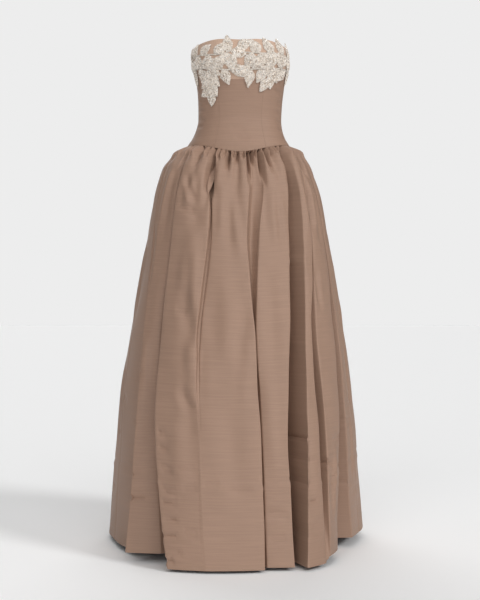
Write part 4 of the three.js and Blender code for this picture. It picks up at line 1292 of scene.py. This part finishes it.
def zip_pull(colours):
    pin_y = zip_pin_y()
    plate_z = SLIDER["z"] - PULL["long"] / 2 - PULL["eye"] / 2
    plate = bevelled_bar(
        "zip_pull_tab", PULL["wide"], PULL["thick"], PULL["long"], (0, pin_y, plate_z), BEVELS["pull"])
    combine(plate, cross_bar("eye", PULL["eye"], PULL["wide"], (0, pin_y, SLIDER["z"])), "UNION")
    combine(plate, cross_bar("bore", PULL["bore"], PULL["wide"] + 2, (0, pin_y, SLIDER["z"])), "DIFFERENCE")
    place = (0, pin_y, plate_z - PULL["long"] * PULL_SLOT["below"])
    slot = bevelled_bar("slot", PULL["wide"] * PULL_SLOT["wide"], PULL_SLOT["deep"],
                        PULL["long"] * PULL_SLOT["long"], place, BEVELS["slot"])
    combine(plate, slot, "DIFFERENCE")
    choose(plate)
    bpy.ops.object.shade_smooth_by_angle(angle=METAL_SMOOTH)
    return finish_piece(plate, metal_material(colours), body="pull", replaces=["zip_pull"])


class GOWN_OT_zip(bpy.types.Operator):
    """Make the centre back zip: tape, teeth, slider and pull tab"""

    bl_idname = "gown.zip"
    bl_label = "Zip"

    def execute(self, context):
        sizes, colours = context.scene.gown_sizes, context.scene.gown_colours
        zip_tape(sizes, colours)
        zip_teeth(colours)
        zip_slider(colours)
        zip_pull(colours)
        return {"FINISHED"}


# Stage
LIGHTS = named(("name", "from", "soft", "strength"), [
    ("key", (0.02, -1, 0.5), 60, 1.55),
    ("side", (1, -0.8, 0.8), 14, 1.25),
    ("rear", (-0.2, 1, 0.6), 60, 1.3),
    ("top", (0, 0, 1), 60, 0.6),
])
FLOOR_RADIUS = 30
SENSOR = 36


def lay_floor(stage):
    floor = made(bpy.ops.mesh.primitive_circle_add, vertices=96, radius=FLOOR_RADIUS, fill_type="NGON")
    floor.name = "floor"
    floor.data.transform(Matrix.Translation((0, 0, HEM * MM - stage.floor_drop)))
    floor.data.materials.append(paper_material(list(stage.floor)))


def hang_light(scene, row):
    data = bpy.data.lights.new(row["name"], "SUN")
    data.angle = row["soft"] * RAD
    data.energy = row["strength"]
    light = bpy.data.objects.new(row["name"], data)
    light.rotation_euler = (-Vector(row["from"])).to_track_quat("-Z", "Y").to_euler()
    scene.collection.objects.link(light)


def make_world(scene, stage):
    """A pale surround: the camera sees it at full strength, and it lights the gown only a little."""
    world = bpy.data.worlds.new("studio")
    world.use_nodes = True
    tree = world.node_tree
    paper = (*stage.paper, 1)
    soft = set_up(tree.nodes["Background"], Color=paper, Strength=stage.ambient)
    seen = add_node(tree, "ShaderNodeBackground", Color=paper)
    mix = add_node(tree, "ShaderNodeMixShader")
    tree.links.new(add_node(tree, "ShaderNodeLightPath").outputs["Is Camera Ray"], mix.inputs[0])
    tree.links.new(soft.outputs[0], mix.inputs[1])
    tree.links.new(seen.outputs[0], mix.inputs[2])
    tree.links.new(mix.outputs[0], tree.nodes["World Output"].inputs["Surface"])
    scene.world = world


def place_camera(scene, stage):
    lens = bpy.data.cameras.new("camera")
    lens.lens = stage.lens
    lens.sensor_fit = "VERTICAL"
    lens.sensor_height = SENSOR
    camera = bpy.data.objects.new("camera", lens)
    camera.location = (0, -stage.distance, stage.height)
    camera.rotation_euler = (math.pi / 2, 0, 0)
    scene.collection.objects.link(camera)
    scene.camera = camera


class GOWN_OT_stage(bpy.types.Operator):
    """Make the pale floor, the soft lights and the camera"""

    bl_idname = "gown.stage"
    bl_label = "Stage"

    def execute(self, context):
        scene = context.scene
        lay_floor(scene.gown_stage)
        for row in LIGHTS:
            hang_light(scene, row)
        make_world(scene, scene.gown_stage)
        scene.view_settings.view_transform = "Standard"
        place_camera(scene, scene.gown_stage)
        return {"FINISHED"}


class GOWN_PT_panel(bpy.types.Panel):
    """Lists the gown's pieces and settings"""

    bl_idname = "GOWN_PT_panel"
    bl_label = "Gown"
    bl_space_type = "VIEW_3D"
    bl_region_type = "UI"
    bl_category = "Gown"

    def draw(self, context):
        layout = self.layout
        for group in ("gown_sizes", "gown_colours", "gown_stage"):
            settings = getattr(context.scene, group)
            for name in settings.__annotations__:
                layout.prop(settings, name)
        for operator in OPERATORS:
            layout.operator(operator.bl_idname)


GROUPS = {"gown_sizes": GownSizes, "gown_colours": GownColours, "gown_stage": GownStage}
OPERATORS = (GOWN_OT_skirt, GOWN_OT_bodice, GOWN_OT_yoke, GOWN_OT_leaves, GOWN_OT_zip, GOWN_OT_stage)


def register():
    for group in (*GROUPS.values(), *OPERATORS, GOWN_PT_panel):
        bpy.utils.register_class(group)
    for name, group in GROUPS.items():
        setattr(bpy.types.Scene, name, PointerProperty(type=group))


def unregister():
    for name in GROUPS:
        delattr(bpy.types.Scene, name)
    for group in (GOWN_PT_panel, *reversed(OPERATORS), *GROUPS.values()):
        bpy.utils.unregister_class(group)


def main():
    register()
    bpy.ops.gown.skirt()
    bpy.ops.gown.bodice()
    bpy.ops.gown.yoke()
    bpy.ops.gown.leaves()
    bpy.ops.gown.zip()
    bpy.ops.gown.stage()


if __name__ == "__main__":
    main()
